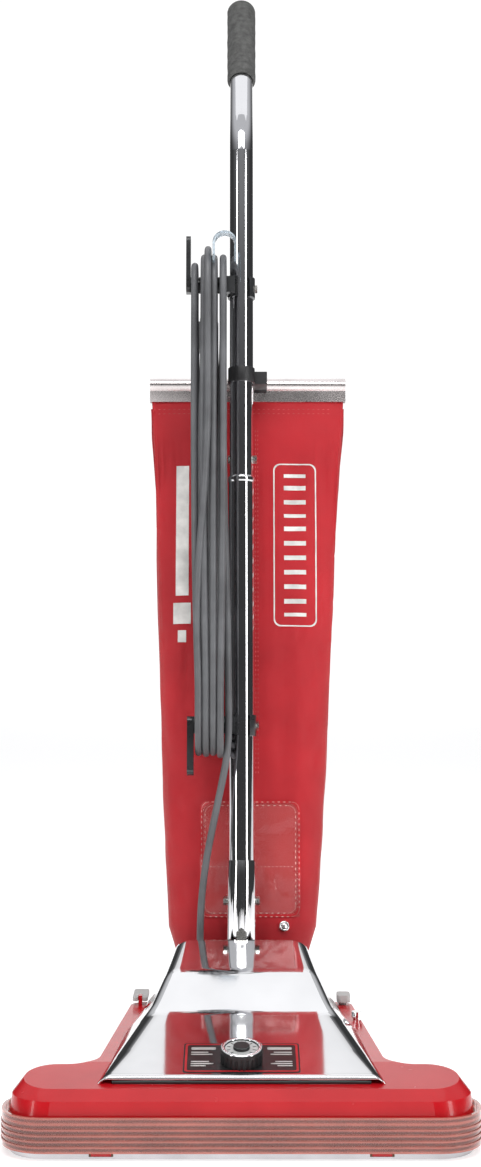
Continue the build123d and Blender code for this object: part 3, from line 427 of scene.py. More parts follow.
def on_bag_strip(name, inner, outer, lift):
    """A closed band on the bag's front between two outlines of (x, along)."""
    points = [on_bag(*spot, lift)[0] for spot in inner] + [on_bag(*spot, lift)[0] for spot in outer]
    count = len(inner)
    faces = [(i, (i + 1) % count, count + (i + 1) % count, count + i) for i in range(count)]
    return mesh_object(name, points, faces)


CORNER_STEPS = 8


def rounded_outline(x0, x1, a0, a1, radius, pitch=5.0):
    """Points round a rectangle with rounded corners, about pitch apart on its sides."""
    corners = [(x1 - radius, a1 - radius, 0), (x0 + radius, a1 - radius, 90),
               (x0 + radius, a0 + radius, 180), (x1 - radius, a0 + radius, 270)]
    points = []
    for k, (cx, ca, start) in enumerate(corners):
        for step in range(CORNER_STEPS + 1):
            turn = math.radians(start + step * (90 / CORNER_STEPS))
            points.append((cx + radius * math.cos(turn), ca + radius * math.sin(turn)))
        nx, na, nstart = corners[(k + 1) % 4]
        turn = math.radians(nstart)
        after = (nx + radius * math.cos(turn), na + radius * math.sin(turn))
        before = points[-1]
        steps = max(2, round(math.dist(before, after) / pitch))
        for step in range(1, steps):
            t = step / steps
            points.append((before[0] + (after[0] - before[0]) * t, before[1] + (after[1] - before[1]) * t))
    return points


def keyline(name, x0, x1, a0, a1, radius, width, lift=0.0004):
    """A printed or sewn border of the given width, just inside a rounded rectangle on the bag's front."""
    outer = rounded_outline(x0, x1, a0, a1, radius)
    cx, ca = (x0 + x1) / 2, (a0 + a1) / 2
    sx, sa = 1 - 2 * width / (x1 - x0), 1 - 2 * width / (a1 - a0)
    inner = [(cx + (x - cx) * sx, ca + (a - ca) * sa) for x, a in outer]
    return on_bag_strip(name, inner, outer, lift)


PRINT_PITCH = 3.0


def printed_patch(x0, x1, a0, a1):
    """A plain printed rectangle on the bag's front."""
    columns = max(2, round((x1 - x0) / PRINT_PITCH) + 1)
    rows = max(2, round((a1 - a0) / PRINT_PITCH) + 1)
    points = []
    for r in range(rows):
        for c in range(columns):
            x, along = x0 + (x1 - x0) * c / (columns - 1), a0 + (a1 - a0) * r / (rows - 1)
            points.append(on_bag(x, along)[0])
    return mesh_object("patch", points, grid_faces(rows, columns))


THREAD_LIFT = 0.0001


def stitches(name, line, length=3.0, gap=1.8, thick=0.45):
    """Short threads along a line of (x, along) on the bag's front."""
    points, faces = [], []
    walk = []
    for (x0, a0), (x1, a1) in zip(line, line[1:]):
        span = math.dist((x0, a0), (x1, a1))
        steps = max(1, round(span / (length + gap)))
        for step in range(steps):
            t0, t1 = step / steps, (step + length / (length + gap)) / steps
            walk.append(((x0 + (x1 - x0) * t0, a0 + (a1 - a0) * t0),
                         (x0 + (x1 - x0) * t1, a0 + (a1 - a0) * t1)))
    for start, end in walk:
        a, out = on_bag(*start, THREAD_LIFT)
        b, _ = on_bag(*end, THREAD_LIFT)
        way = b - a
        if way.length < 1e-5:
            continue
        across = way.normalized().cross(out) * (thick / 1000)
        middle = (a + b) / 2 + out * (thick / 1000)
        base = len(points)
        points += [a, (a + b) / 2 + across, b, (a + b) / 2 - across, middle]
        faces += [(base, base + 1, base + 4), (base + 1, base + 2, base + 4), (base + 2, base + 3, base + 4),
                  (base + 3, base, base + 4)]
    return mesh_object(name, points, faces)


# printed keyline with plain bars, and a plain stripe with two plain marks under it
PRINT_BARS = [(586, 590), (572, 577), (556, 561), (541, 545), (526, 531), (510, 515), (494, 499),
              (478, 483), (462, 467), (446, 451), (432, 436)]
BAR_X = (46.5, 70.5)
prints = [keyline("frame", 35, 82, 421, 602, 7.5, 1.4)]
for low, high in PRINT_BARS:
    prints.append(printed_patch(*BAR_X, low, high))
bag_print = joined("bag_print", prints)
bag_stripe = joined("bag_stripe", [printed_patch(-71.5, -57.5, 455, 600), printed_patch(-74, -55, 424, 447),
                                   printed_patch(-69, -60, 404, 417)])

# clear vinyl window with its stitched border
WINDOW = (-43.0, 62.0, 110.0, 232.0)         # left, right, bottom and top
WINDOW_FOLD = 163                            # height of the seam across it


def window_mesh():
    """The vinyl patch: rounded at its top corners, flat at its edge and wavy within."""
    x0, x1, a0, a1 = WINDOW
    columns, rows = 42, 48
    points = []
    for r in range(rows):
        for c in range(columns):
            u, v = c / (columns - 1), r / (rows - 1)
            x, along = x0 + (x1 - x0) * u, a0 + (a1 - a0) * v
            round_x = 9 * max(0.0, (v - 0.93) / 0.07) ** 2
            x = min(max(x, x0 + round_x), x1 - round_x)
            edge = min(1.0, 6 * min(u, 1 - u, v, 1 - v))
            lift = 0.7 + edge * (1.6 + 1.7 * noise.noise(Vector((x / 13, along / 21, 2.0)))
                                 + 0.9 * abs(noise.noise(Vector((x / 7 + along / 15, along / 9, 8.0)))))
            points.append(on_bag(x, along, lift / 1000)[0])
    return mesh_object("bag_window", points, grid_faces(rows, columns))


window = window_mesh()
x0, x1, a0, a1 = WINDOW
window_edge = keyline("bag_window_edge", x0 - 1.2, x1 + 1.2, a0, a1 + 1.2, 9, 3.0, 0.0011)
WINDOW_THREAD = (2.6, 1.6, 0.4)              # length, gap and half width of a stitch
ON_WINDOW = 0.0012
window_seams = []
for inset in (0.4, 4.2):
    outline = rounded_outline(x0 + inset, x1 - inset, a0 + inset, a1 - inset, 8, 6.0)
    window_seams.append(stitches("seam", outline + outline[:1], *WINDOW_THREAD))
window_seams.append(stitches("seam", [(x0 + 5, WINDOW_FOLD), (x1 - 5, WINDOW_FOLD)], *WINDOW_THREAD))
window_stitches = joined("bag_window_stitches", window_seams)
for vertex in window_stitches.data.vertices:
    vertex.co -= BACK * ON_WINDOW

# seams of the bag itself: two down its middle and two along its top hem
seam_lines = [[(x, 640 - 20 * k) for k in range(20)] for x in (15.5, 18.0)]
seam_lines += [[(-98 + 11.0 * k, along) for k in range(19)] for along in (664, 659)]
bag_stitches = joined("bag_stitches", [stitches("seam", line) for line in seam_lines])


PIPING_R, PIPING_OUT = 0.0014, 0.0003
PIPED_RINGS = range(4, handle_rings + 10)


def side_piping(side):
    """Piping down the bag's side seam, on the right (side 1) or the left (-1)."""
    index = 0 if side > 0 else AROUND // 2
    line = [bag.data.vertices[r * AROUND + index].co.copy() + Vector((side * PIPING_OUT, 0, 0))
            for r in PIPED_RINGS]
    return tube("piping", line, PIPING_R, steps=8)


bag_piping = joined("bag_piping", [side_piping(1), side_piping(-1)])

# snap on the bag, right of the socket
snap_at, snap_out = on_bag(45.5, 100.5, 0.0)
snap = lathe("bag_snap", snap_at, snap_out, [(5.6, -1), (5.6, 0.8), (5.0, 1.5), (3.9, 1.7), (3.5, 1.2),
                                             (3.1, 2.4), (1.8, 3.1), (0.01, 3.3)])

for piece in (bag_print, bag_stripe, window, window_edge, window_stitches, bag_stitches, snap):
    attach(piece, "handle")
for piece in (bag, bag_piping):
    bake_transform(piece)
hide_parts("bag_body", "bag_sleeve")


# ------------------------------------------------------------------ hood
# in the design's mm; (y, z) of the ridge line, from the lip at the front to the cut at the rear
HOOD_RIDGE = [(-161.0, 68.0), (-101.8, 82.4), (-38.0, 98.0), (10.0, 130.0), (77.0, 148.0)]
# half width at each of HOOD_HEIGHTS, at three places y
HOOD_HEIGHTS = (62.0, 98.0, 130.0, 150.0)
HOOD_WIDTHS = [(-161.0, (130.0, 96.0, 79.0, 69.0)), (10.0, (121.0, 88.0, 73.0, 64.5)),
               (158.0, (101.0, 81.0, 69.0, 61.0))]
LIP_Y, LIP_R = -157.5, 3.5                   # the rounded front lip's centre and radius
HOOD_START, HOOD_STOP, HOOD_PITCH = -155.0, 76, 2.5
HOOD_SHEET = 0.0016


def linear(table, at):
    """Straight lines through a table's rows; the first and the last go on past its ends."""
    for (a, low), (b, high) in zip(table, table[1:]):
        if at <= b or b == table[-1][0]:
            t = (at - a) / (b - a)
            return low + (high - low) * t


def hood_half(y, z):
    """Half the hood's width at a place and a height."""
    return linear([(at, linear(list(zip(HOOD_HEIGHTS, widths)), z)) for at, widths in HOOD_WIDTHS], y)


def soft_ridge(y):
    """The ridge line with its corners eased."""
    first, last = HOOD_RIDGE[0][0], HOOD_RIDGE[-1][0]
    return sum(linear(HOOD_RIDGE, min(last, max(first, y + d))) for d in (-3, -1.5, 0, 1.5, 3)) / 5


def hood_foot(y):
    """Height of the hood's lower edge, just above the housing's slope and then its deck."""
    return min(67.0, 60.0 + (y + 173.0) * 6.0 / 61.0) + 0.3


def hood_row(y, top, cut=None):
    """Points over the hood from its left foot to its right one, in the plane y or in the slanted cut y + z."""
    foot = hood_foot(y if cut is None else cut - 67.0)

    def at(z):
        place = y if cut is None else cut - z
        return Vector((hood_half(place, z), place, z))
    ease = min(11.0, 0.8 * (top - foot))
    low, corner = at(top - ease), at(top)
    inward = corner - Vector((1.15 * ease, 0, 0))
    side = [at(foot + (low.z - foot) * k / 10) for k in range(11)]
    arc = [low * (1 - t) ** 2 + corner * (2 * t * (1 - t)) + inward * t ** 2
           for t in (k / 7 for k in range(1, 8))]
    half = side + arc
    across = [Vector((inward.x * (1 - k / 8), inward.y, inward.z)) for k in range(1, 8)]
    right = half + across
    middle = [Vector((0, inward.y, inward.z))]
    return [Vector((-v.x, v.y, v.z)) for v in right] + middle + right[::-1]


def hood_rows():
    rows = []
    for k in range(7):
        turn = math.radians(90 - 15 * k)
        y = LIP_Y - LIP_R * math.sin(turn)
        top = soft_ridge(LIP_Y) - LIP_R * (1 - math.cos(turn))
        rows.append(hood_row(y, max(top, hood_foot(y) + 2.0)))
    y = HOOD_START
    while y < HOOD_STOP:
        rows.append(hood_row(y, soft_ridge(y)))
        y += HOOD_PITCH
    rows.append(hood_row(*HOOD_RIDGE[-1], cut=sum(HOOD_RIDGE[-1])))
    return rows


rows = hood_rows()
hood = mesh_object("hood", [dp(*p) for row in rows for p in row], grid_faces(len(rows), len(rows[0])))
shell = hood.modifiers.new("sheet", "SOLIDIFY")
shell.thickness = HOOD_SHEET
shell.offset = 0
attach(hood, "base")
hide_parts("motor_hood")

# dark gasket under the lip: (y, height above the hood's foot) of its profile
SEAL_PROFILE = [(-161.3, -0.2), (-161.9, 0.6), (-161.8, 2.4), (-161.1, 2.9)]
seal_x = [-118.0 + 11.8 * k for k in range(21)]
seal_foot = hood_foot(-161)
seal_points = [dp(x, y, seal_foot + rise) for x in seal_x for y, rise in SEAL_PROFILE]
hood_seal = mesh_object("hood_seal", seal_points, grid_faces(len(seal_x), len(SEAL_PROFILE)))
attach(hood_seal, "base")

# ------------------------------------------------------------------ grip
grip_points = [v.co.copy() for v in frame["nodes"]["grip"].data.vertices]
grip_low, grip_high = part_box("grip")
# its axis is the way in which the CAD grip's points spread furthest
centred = numpy.array(grip_points) - numpy.mean(grip_points, axis=0)
spread_out = numpy.linalg.svd(centred, full_matrices=False)[2]
grip_axis = Vector((0, spread_out[0][1], spread_out[0][2])).normalized()
if grip_axis.z < 0:
    grip_axis = -grip_axis
reaches = [p.dot(grip_axis) for p in grip_points]
grip_start, grip_end = min(reaches), max(reaches)
grip_centre = (grip_low + grip_high) / 2
foot = grip_centre - grip_axis * (grip_centre.dot(grip_axis) - grip_start)
span = (grip_end - grip_start) * 1000
GRIP_R, GRIP_SWELL, GRIP_WOBBLE = 15.9, 0.55, 0.12
GRIP_STEPS = 20
DOME_R, DOME_HIGH = 16.3, 12
FOAM_LUMPS, FOAM_DEPTH = 90, 0.00022
profile = [(12.9, 0.4), (14.8, 0.0), (15.7, 0.8), (GRIP_R, 2.2)]
profile += [(GRIP_R + GRIP_SWELL * k / GRIP_STEPS + GRIP_WOBBLE * math.sin(k * 1.9),
             3 + (span - 15) * k / GRIP_STEPS) for k in range(GRIP_STEPS + 1)]
profile += [(DOME_R * math.cos(math.radians(a)), span - DOME_HIGH + DOME_HIGH * math.sin(math.radians(a)))
            for a in range(12, 90, 13)]
profile += [(0.01, span)]
grip = lathe("foam_grip", foot, grip_axis, profile, steps=72)
for vertex in grip.data.vertices:
    offset = vertex.co - foot
    out = offset - grip_axis * offset.dot(grip_axis)
    if out.length > 1e-6:
        vertex.co += out.normalized() * noise.noise(vertex.co * FOAM_LUMPS) * FOAM_DEPTH
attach(grip, "handle")
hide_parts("grip")

# ------------------------------------------------------------------ dial, label, small trim
# the hood's sloping front panel: the dial's centre on it, the way out of it and the way up it
PANEL_AT = dp(0, -134.0, 74.585)
PANEL_OUT = Vector((0, -0.23696, 0.97152))
PANEL_UP = Vector((0, 0.97152, 0.23696))
LABEL_PRINT = (1.12, 0.12)                   # height over the panel and thickness of the label's print


def on_panel(u, v, height):
    """A point of the panel in mm: across, up it, and above it."""
    return PANEL_AT + Vector((u, 0, 0)) / 1000 + PANEL_UP * v / 1000 + PANEL_OUT * height / 1000


def panel_ring(name, outer, inner, height, thick):
    """A flat band between two outlines of (u, v) on the hood's panel, with a little thickness."""
    count = len(outer)
    points = [on_panel(*p, height) for p in outer] + [on_panel(*p, height + thick) for p in outer]
    points += [on_panel(*p, height + thick) for p in inner] + [on_panel(*p, height) for p in inner]
    faces = []
    for level in range(3):
        for i in range(count):
            j = (i + 1) % count
            near, far = level * count, (level + 1) * count
            faces.append((near + i, near + j, far + j, far + i))
    return mesh_object(name, points, faces, smooth=False)


def panel_bar(u0, u1, v0, v1):
    """A plain bar printed on the label."""
    outer = rounded_outline(u0, u1, v0, v1, min(u1 - u0, v1 - v0) * 0.3, 4.0)
    cu, cv = (u0 + u1) / 2, (v0 + v1) / 2
    inner = [(cu + (u - cu) * 0.02, cv + (v - cv) * 0.02) for u, v in outer]
    return panel_ring("bar", outer, inner, *LABEL_PRINT)


outer = rounded_outline(-52.5, 52.5, -20.5, 33.5, 3, 4.0)
inner = [(u * 50.4 / 52.5, 6.5 + (v - 6.5) * 24.9 / 27.0) for u, v in outer]
label_frame = panel_ring("label_frame", outer, inner, *LABEL_PRINT)
LABEL_BARS = [(-47, -24, 22, 27), (-47, -31, 16, 18), (-47, -27, 12, 14), (-47, -30, -2, 0),
              (-47, -26, -6, -4), (-47, -33, -10, -8), (24, 47, 22, 27), (30, 47, 16, 18),
              (27, 47, 12, 14), (31, 47, -2, 0), (27, 47, -6, -4), (33, 47, -10, -8)]
label_bars = joined("label_bars", [panel_bar(*bar) for bar in LABEL_BARS])
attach(label_frame, "base")
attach(label_bars, "base")

dial_ring = lathe("dial_ring", PANEL_AT, PANEL_OUT,
                  [(15.5, 14.6), (15.6, 15.3), (16.2, 15.7), (18.4, 15.7), (19.2, 15.3), (19.4, 14.6),
                   (19.4, 13.4)], 72)
MARK_FROM, MARK_TO, MARK_HALF = 10.6, 13.9, 0.45
marks = []
for step in range(10):
    turn = math.radians(225 - 30 * step)
    cu, cv = math.cos(turn), math.sin(turn)
    r0, r1, w = MARK_FROM, MARK_TO, MARK_HALF
    corners = [(r0 * cu - w * cv, r0 * cv + w * cu), (r1 * cu - w * cv, r1 * cv + w * cu),
               (r1 * cu + w * cv, r1 * cv - w * cu), (r0 * cu + w * cv, r0 * cv - w * cu)]
    mid = [(sum(c[0] for c in corners) / 4, sum(c[1] for c in corners) / 4)] * 4
    marks.append(panel_ring("mark", corners, mid, 14.04, 0.1))
dial_marks = joined("dial_marks", marks)
dial_centre = lathe("dial_centre", PANEL_AT, PANEL_OUT,
                    [(7.7, 14.05), (7.7, 16.6), (7.3, 17.2), (6.2, 17.4), (0.01, 17.4)])
for piece in (dial_ring, dial_marks, dial_centre):
    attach(piece, "dial")

tube_ring = lathe("tube_ring", hp(0, 0, 0), UP,
                  [(12.75, 579.4), (13.2, 580.1), (14.0, 579.6), (14.35, 578.0), (14.4, 575.5), (14.1, 573.6),
                   (13.85, 573.2)])
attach(tube_ring, "handle")


# ------------------------------------------------------------------ materials
DARKER, LIGHTER, LIFTED = 2.2, 1.4, 0.004    # how far spread takes the colour down and up
RAMP_LOW, RAMP_HIGH = 0.32, 0.7
RIB_PAINTED_SHADE, RIB_PAINTED_HIGHLIGHT = 0.42, 1.12             # what a rib's stripe does to the colour: painted shade between the bumper's ribs, painted highlight on them
COAT_ROUGH, SHEEN_ROUGH = 0.04, 0.45
SHEEN_TINT = (1.0, 0.72, 0.66, 1)


def material(name, colour, rough, spread=0.06, grain=900.0, bump=0.1, depth=0.0001, metallic=0.0, coat=0.0,
             sheen=0.0, transmission=0.0, weave=0.0, tint=None, mottle=30.0, scratch=0.0, ior=1.5, alpha=1.0,
             specular=0.5, rib_shading_pitch=0.0):
    """Principled surface with uneven colour, uneven roughness and a fine bump, all from noise.

    spread is how uneven, mottle and grain are the scales of the large and the fine noise, weave is the scale
    of the cloth's threads, and rib_shading_pitch is the pitch in metres of stripes up the z axis that paint
    shade between ribs and a highlight on them.
    """
    mat = bpy.data.materials.new(name)
    mat.use_nodes = True
    nodes, links = mat.node_tree.nodes, mat.node_tree.links
    surface = nodes["Principled BSDF"]
    place = nodes.new("ShaderNodeTexCoord")

    def textured(kind, scale, detail=3.0):
        tex = nodes.new(kind)
        tex.inputs["Scale"].default_value = scale
        if "Detail" in tex.inputs:
            tex.inputs["Detail"].default_value = detail
        links.new(place.outputs["Object"], tex.inputs["Vector"])
        return tex
    large = textured("ShaderNodeTexNoise", mottle)
    ramp = nodes.new("ShaderNodeValToRGB")
    darker = tint or tuple(c * (1 - DARKER * spread) for c in colour)
    lighter = tuple(min(1.0, c * (1 + LIGHTER * spread) + LIFTED) for c in colour)
    ramp.color_ramp.elements[0].position = RAMP_LOW
    ramp.color_ramp.elements[1].position = RAMP_HIGH
    ramp.color_ramp.elements[0].color = (*darker, 1)
    ramp.color_ramp.elements[1].color = (*lighter, 1)
    links.new(large.outputs["Fac"], ramp.inputs["Fac"])
    tone = ramp.outputs["Color"]
    # painted shade and painted highlight: stripes up the z axis darken the colour between ribs and lighten it
    # on them
    if rib_shading_pitch:
        lines = textured("ShaderNodeTexWave", 2 * math.pi / (20 * rib_shading_pitch), 0.0)
        lines.bands_direction = "Z"
        lines.inputs["Distortion"].default_value = 0.15
        shade = nodes.new("ShaderNodeMapRange")
        shade.inputs["To Min"].default_value = RIB_PAINTED_SHADE
        shade.inputs["To Max"].default_value = RIB_PAINTED_HIGHLIGHT
        links.new(lines.outputs["Fac"], shade.inputs["Value"])
        darken = nodes.new("ShaderNodeVectorMath")
        darken.operation = "SCALE"
        links.new(tone, darken.inputs[0])
        links.new(shade.outputs["Result"], darken.inputs["Scale"])
        tone = darken.outputs["Vector"]
    links.new(tone, surface.inputs["Base Color"])
    fine = textured("ShaderNodeTexNoise", grain, 4.0)
    spreader = nodes.new("ShaderNodeMapRange")
    spreader.inputs["To Min"].default_value = max(0.02, rough * (1 - 3 * spread))
    spreader.inputs["To Max"].default_value = min(1.0, rough * (1 + 3 * spread) + scratch)
    uneven = fine if scratch else textured("ShaderNodeTexNoise", mottle * 3)
    links.new(uneven.outputs["Fac"], spreader.inputs["Value"])
    links.new(spreader.outputs["Result"], surface.inputs["Roughness"])
    height = fine.outputs["Fac"]
    if weave:
        waves = []
        for axis in ("X", "Z"):
            wave = textured("ShaderNodeTexWave", weave)
            wave.bands_direction = axis
            wave.inputs["Distortion"].default_value = 1.2
            wave.inputs["Detail Scale"].default_value = 2.0
            waves.append(wave)
        crossing = nodes.new("ShaderNodeMath")
        crossing.operation = "MULTIPLY"
        links.new(waves[0].outputs["Fac"], crossing.inputs[0])
        links.new(waves[1].outputs["Fac"], crossing.inputs[1])
        total = nodes.new("ShaderNodeMath")
        total.operation = "ADD"
        links.new(crossing.outputs["Value"], total.inputs[0])
        links.new(height, total.inputs[1])
        height = total.outputs["Value"]
    bumper = nodes.new("ShaderNodeBump")
    bumper.inputs["Strength"].default_value = bump
    bumper.inputs["Distance"].default_value = depth
    links.new(height, bumper.inputs["Height"])
    links.new(bumper.outputs["Normal"], surface.inputs["Normal"])
    surface.inputs["Metallic"].default_value = metallic
    surface.inputs["Coat Weight"].default_value = coat
    surface.inputs["Coat Roughness"].default_value = COAT_ROUGH
    surface.inputs["Sheen Weight"].default_value = sheen
    surface.inputs["Sheen Roughness"].default_value = SHEEN_ROUGH
    surface.inputs["Sheen Tint"].default_value = SHEEN_TINT
    surface.inputs["Transmission Weight"].default_value = transmission
    surface.inputs["IOR"].default_value = ior
    surface.inputs["Alpha"].default_value = alpha
    surface.inputs["Specular IOR Level"].default_value = specular
    mat.diffuse_color = (*colour, 1)
    return mat


CHROME = dict(metallic=1.0, spread=0.03, mottle=12.0, grain=700.0, bump=0.03, depth=0.00003, scratch=0.02)
SATIN = dict(metallic=1.0, spread=0.06, mottle=25.0, grain=900.0, bump=0.06, depth=0.00003, scratch=0.06)
LOOK = {
    "housing_paint": material("red_paint", (0.56, 0.006, 0.012), 0.26, 0.04, 420, 0.05, 0.00006, coat=0.35,
                              mottle=18, specular=0.3),
    # the vinyl is clear: its tint stands for the red seen through it, and its stripes are painted shade and
    # painted highlight for the ribs
    "clear_vinyl": material("clear_vinyl", (0.76, 0.26, 0.20), 0.07, 0.06, 500, 0.08, 0.00008,
                            transmission=0.6, ior=1.42, coat=1.0, rib_shading_pitch=0.0052),
    "chrome": material("chrome", (0.86, 0.86, 0.87), 0.05, **CHROME),
    "tube_chrome": material("tube_chrome", (0.78, 0.78, 0.80), 0.055, **CHROME),
    "label_black": material("label_black", (0.012, 0.012, 0.013), 0.32, 0.1, 600, 0.05, coat=0.3),
    "black_plastic": material("black_plastic", (0.016, 0.016, 0.017), 0.42, 0.15, 1100, 0.25),
    "dial_pale": material("dial_pale", (0.62, 0.63, 0.62), 0.3, 0.08, 900, 0.08, coat=0.3),
    "zinc_steel": material("zinc_steel", (0.46, 0.46, 0.45), 0.3, 0.12, 500, 0.12, metallic=1.0, mottle=60,
                           scratch=0.15),
    "zinc_bolts": material("zinc_bolts", (0.60, 0.59, 0.56), 0.22, 0.12, 800, 0.12, metallic=1.0, mottle=110,
                           scratch=0.1),
    "steel_dark": material("steel_dark", (0.16, 0.16, 0.165), 0.38, 0.15, 500, 0.15, metallic=1.0,
                           scratch=0.12),
    "grey_plastic": material("grey_plastic", (0.46, 0.46, 0.45), 0.42, 0.08, 1000, 0.2),
    "hook_grey": material("hook_grey", (0.035, 0.036, 0.038), 0.3, 0.15, 700, 0.2, metallic=0.3, coat=0.4),
    "cord_grey": material("cord_grey", (0.128, 0.130, 0.137), 0.42, 0.12, 1500, 0.2, mottle=24),
    "plug_grey": material("plug_grey", (0.12, 0.12, 0.125), 0.42, 0.1, 1100, 0.2),
    "brass": material("brass", (0.72, 0.52, 0.22), 0.25, 0.1, 700, 0.1, metallic=1.0, mottle=90),
    "copper": material("copper", (0.62, 0.28, 0.16), 0.35, 0.15, 1400, 0.4, metallic=1.0, mottle=90),
    "carbon": material("carbon", (0.02, 0.02, 0.02), 0.6, 0.2, 1200, 0.4),
    "belt_rubber": material("belt_rubber", (0.018, 0.018, 0.018), 0.7, 0.2, 900, 0.4),
    "foam_grip": material("foam_grip", (0.088, 0.088, 0.085), 0.88, 0.16, 1400, 0.9, 0.0005, mottle=160),
    "tyre_black": material("tyre_black", (0.017, 0.017, 0.018), 0.62, 0.2, 700, 0.35),
    "roll_wood": material("roll_wood", (0.42, 0.26, 0.13), 0.55, 0.2, 300, 0.3, mottle=70,
                          tint=(0.24, 0.13, 0.06)),
    "bristle": material("bristle", (0.02, 0.02, 0.02), 0.6, 0.25, 2600, 1.0, 0.0008),
    "bag_cloth": material("bag_cloth", (0.53, 0.004, 0.013), 0.46, 0.06, 1500, 0.7, 0.0004, sheen=0.3,
                          weave=330, mottle=14, specular=0.42),
    "sleeve_cloth": material("sleeve_cloth", (0.50, 0.006, 0.018), 0.72, 0.10, 1500, 0.4, 0.0003, sheen=0.3,
                             weave=330, specular=0.2),
    "clip_clear": material("clip_clear", (0.66, 0.74, 0.80), 0.12, 0.06, 500, 0.1, transmission=0.7, ior=1.42),
    "grey_terminal": material("grey_terminal", (0.35, 0.35, 0.35), 0.5, 0.1, 900, 0.2),
}
PRINT_WHITE = material("print_white", (0.80, 0.78, 0.75), 0.6, 0.1, 1500, 0.3, 0.0002, weave=330, mottle=60)
THREAD = material("thread", (0.62, 0.10, 0.10), 0.8, 0.2, 2500, 0.5, 0.0002)
THREAD_PALE = material("thread_pale", (0.74, 0.50, 0.46), 0.8, 0.2, 2500, 0.5, 0.0002)
PIPING = material("piping_cloth", (0.40, 0.006, 0.015), 0.75, 0.12, 1700, 0.5, 0.0002, sheen=0.3)
RED_TRIM = material("red_trim", (0.55, 0.012, 0.02), 0.35, 0.08, 900, 0.1, coat=0.4)
PALE_TRIM = material("pale_trim", (0.62, 0.60, 0.58), 0.4, 0.1, 900, 0.1)
WINDOW_VINYL = material("window_vinyl", (0.85, 0.30, 0.28), 0.12, 0.05, 500, 0.25, 0.0003,
                        transmission=0.25, coat=1.0, ior=1.4, alpha=0.26)


def dress(item, mat):
    item.data.materials.clear()
    item.data.materials.append(mat)


for row in frame["record"]["subparts"]:
    dress(frame["nodes"][row["node"]], LOOK[row["material_slot"]])
for item, mat in [(cord, "cord_grey"), (bag, "bag_cloth"), (hood, "chrome"), (grip, "foam_grip"),
                  (snap, "chrome"), (dial_ring, "chrome"), (tube_ring, "chrome"), (dial_marks, "label_black"),
                  (dial_centre, "black_plastic"), (hood_seal, "label_black")]:
    dress(item, LOOK[mat])
for item, mat in [(bag_print, PRINT_WHITE), (bag_stripe, PRINT_WHITE), (window, WINDOW_VINYL),
                  (window_edge, RED_TRIM), (window_stitches, THREAD_PALE), (bag_stitches, THREAD),
                  (bag_piping, PIPING), (label_frame, RED_TRIM), (label_bars, PALE_TRIM)]:
    dress(item, mat)
dress(frame["nodes"]["handle_socket"], LOOK["chrome"])
dress(frame["nodes"]["sole_plate"], material("sole_chrome", (0.56, 0.56, 0.58), 0.14, **SATIN))
dress(frame["nodes"]["bag_channel"], material("channel_steel", (0.80, 0.74, 0.73), 0.24, **SATIN))
# each wheel's disc is grey and its tread black
DISC_SHARE = 0.72                            # the disc's radius over the wheel's
for node in ("rear_wheel_left", "rear_wheel_right", "front_wheel_left", "front_wheel_right"):
    item = frame["nodes"][node]
    item.data.materials.append(LOOK["grey_plastic"])
    low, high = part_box(node)
    middle = (low + high) / 2
    reach = (high.z - low.z) / 2
    for face in item.data.polygons:
        away = Vector(face.center) - middle
        face.material_index = 1 if math.hypot(away.y, away.z) < DISC_SHARE * reach else 0

# softened edges where the light catches them
WELD_WITHIN = 0.00001
EDGE_ANGLE = math.radians(35)
for node, width in [("nozzle_housing", 0.0016), ("sole_plate", 0.0004), ("handle_socket", 0.0012),
                    ("dial_knob", 0.0005), ("hanger_bracket", 0.0006), ("lower_hook", 0.0008),
                    ("upper_hook", 0.0008), ("upper_hook_base", 0.0006), ("bag_channel", 0.0003),
                    ("label_plate", 0.0003), ("plug_body", 0.0008), ("foot_switch", 0.0008),
                    ("release_pedal", 0.0008), ("rear_cover", 0.0005)]:
    item = frame["nodes"][node]
    weld = item.modifiers.new("weld", "WELD")
    weld.merge_threshold = WELD_WITHIN
    edge = item.modifiers.new("edge", "BEVEL")
    edge.width = width
    edge.segments = 3
    edge.limit_method = "ANGLE"
    edge.angle_limit = EDGE_ANGLE
    edge.harden_normals = node != "nozzle_housing"

# ------------------------------------------------------------------ floor, backdrop and light
scene = bpy.context.scene
world = bpy.data.worlds.new("studio")
scene.world = world
world.use_nodes = True
sky = world.node_tree.nodes
links = world.node_tree.links
direction = sky.new("ShaderNodeTexCoord")
parts = sky.new("ShaderNodeSeparateXYZ")
SKY_FROM, SKY_TO = 0.3, 0.75                 # sine of the height at which the sky begins and ends to lighten
SKY_LOW, SKY_HIGH = 0.045, 0.62
rise = sky.new("ShaderNodeMapRange")
rise.interpolation_type = "SMOOTHSTEP"
rise.inputs["From Min"].default_value = SKY_FROM
rise.inputs["From Max"].default_value = SKY_TO
rise.inputs["To Min"].default_value = SKY_LOW
rise.inputs["To Max"].default_value = SKY_HIGH
links.new(direction.outputs["Generated"], parts.inputs["Vector"])
links.new(parts.outputs["Z"], rise.inputs["Value"])
links.new(rise.outputs["Result"], sky["Background"].inputs["Strength"])
sky["Background"].inputs["Color"].default_value = (0.96, 0.97, 1.0, 1)
scene.view_settings.view_transform = "Standard"


def paper(name, shade, glow):
    """Dull grey card of the given shade, with some light of its own."""
    mat = bpy.data.materials.new(name)
    mat.use_nodes = True
    surface = mat.node_tree.nodes["Principled BSDF"]
    surface.inputs["Base Color"].default_value = (shade, shade, shade, 1)
    surface.inputs["Roughness"].default_value = 0.9
    surface.inputs["Specular IOR Level"].default_value = 0.1
    surface.inputs["Emission Color"].default_value = (1, 1, 1, 1)
    surface.inputs["Emission Strength"].default_value = glow
    return mat


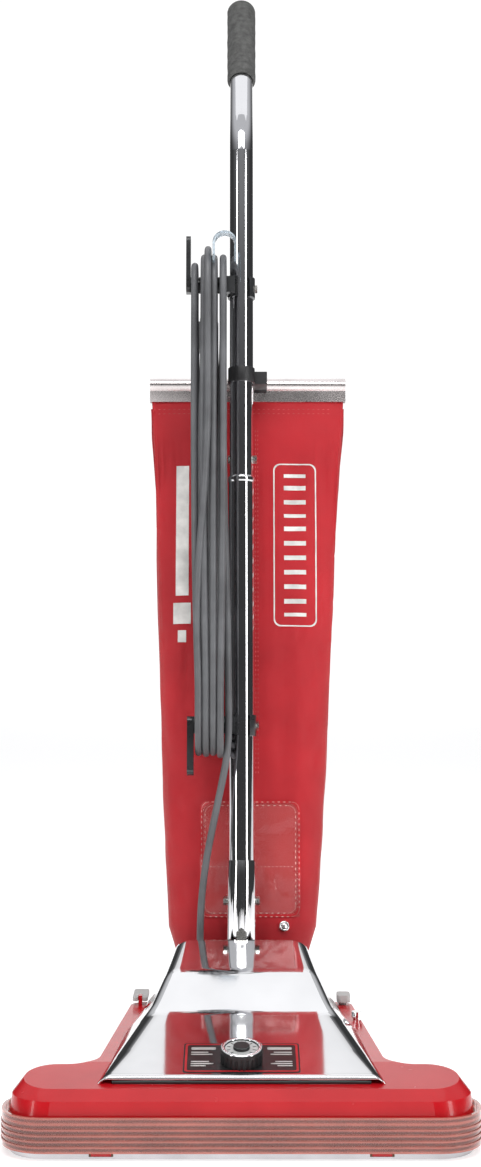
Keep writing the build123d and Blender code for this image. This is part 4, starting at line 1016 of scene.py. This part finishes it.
SWEEP_Y, SWEEP_R, SWEEP_HALF, SWEEP_TOP = 6.5, 0.7, 1.15, 3.8
SWEEP_LIFT = 0.001                           # keeps it off the floor's plane


def sweep():
    """Backdrop no wider than the view, so that the chrome keeps its dark edges.

    It stands behind the orbit of the other views, which would otherwise look at its back.
    """
    line = [(SWEEP_Y - SWEEP_R - 0.1, SWEEP_LIFT)]
    for a in range(0, 91, 6):
        turn = math.radians(a)
        line.append((SWEEP_Y - SWEEP_R + SWEEP_R * math.sin(turn),
                     SWEEP_LIFT + SWEEP_R - SWEEP_R * math.cos(turn)))
    line.append((SWEEP_Y, SWEEP_TOP))
    points = [Vector((x, y, z)) for y, z in line for x in (-SWEEP_HALF, 0, SWEEP_HALF)]
    return mesh_object("studio_sweep", points, grid_faces(len(line), 3))


backdrop = sweep()
dress(backdrop, paper("backdrop_paper", 0.05, 1.04))
floor_line = [-40.0 + 10.0 * k for k in range(9)]
floor = mesh_object("studio_floor", [Vector((x, y, 0)) for y in floor_line for x in floor_line],
                    grid_faces(len(floor_line), len(floor_line)))
dress(floor, paper("floor_paper", 0.72, 0.58))


def softbox(name, spot, aim, width, height, radiance):
    """A lit rectangle aimed at a point; the camera doesn't see it, but the chrome mirrors it."""
    data = bpy.data.lights.new(name, "AREA")
    data.shape = "RECTANGLE"
    data.size, data.size_y = width, height
    data.energy = radiance * width * height * math.pi
    item = bpy.data.objects.new(name, data)
    scene.collection.objects.link(item)
    item.location = spot
    item.visible_camera = False
    item.rotation_euler = (Vector(aim) - Vector(spot)).to_track_quat("-Z", "Y").to_euler()


softbox("strip_left", (-1.45, -1.25, 0.85), (0, 0, 0.6), 0.20, 2.1, 6.0)
softbox("strip_right", (1.45, -1.25, 0.85), (0, 0, 0.6), 0.36, 2.1, 6.0)
softbox("overhead", (0, 0.75, 2.7), (0, 0, 0.2), 2.4, 1.6, 0.50)
softbox("rear_top", (0, 2.1, 2.15), (0, -0.2, 0.1), 2.2, 1.3, 0.45)
softbox("front_top", (0, -1.7, 2.9), (0, 0, 0.5), 2.6, 1.0, 4.9)
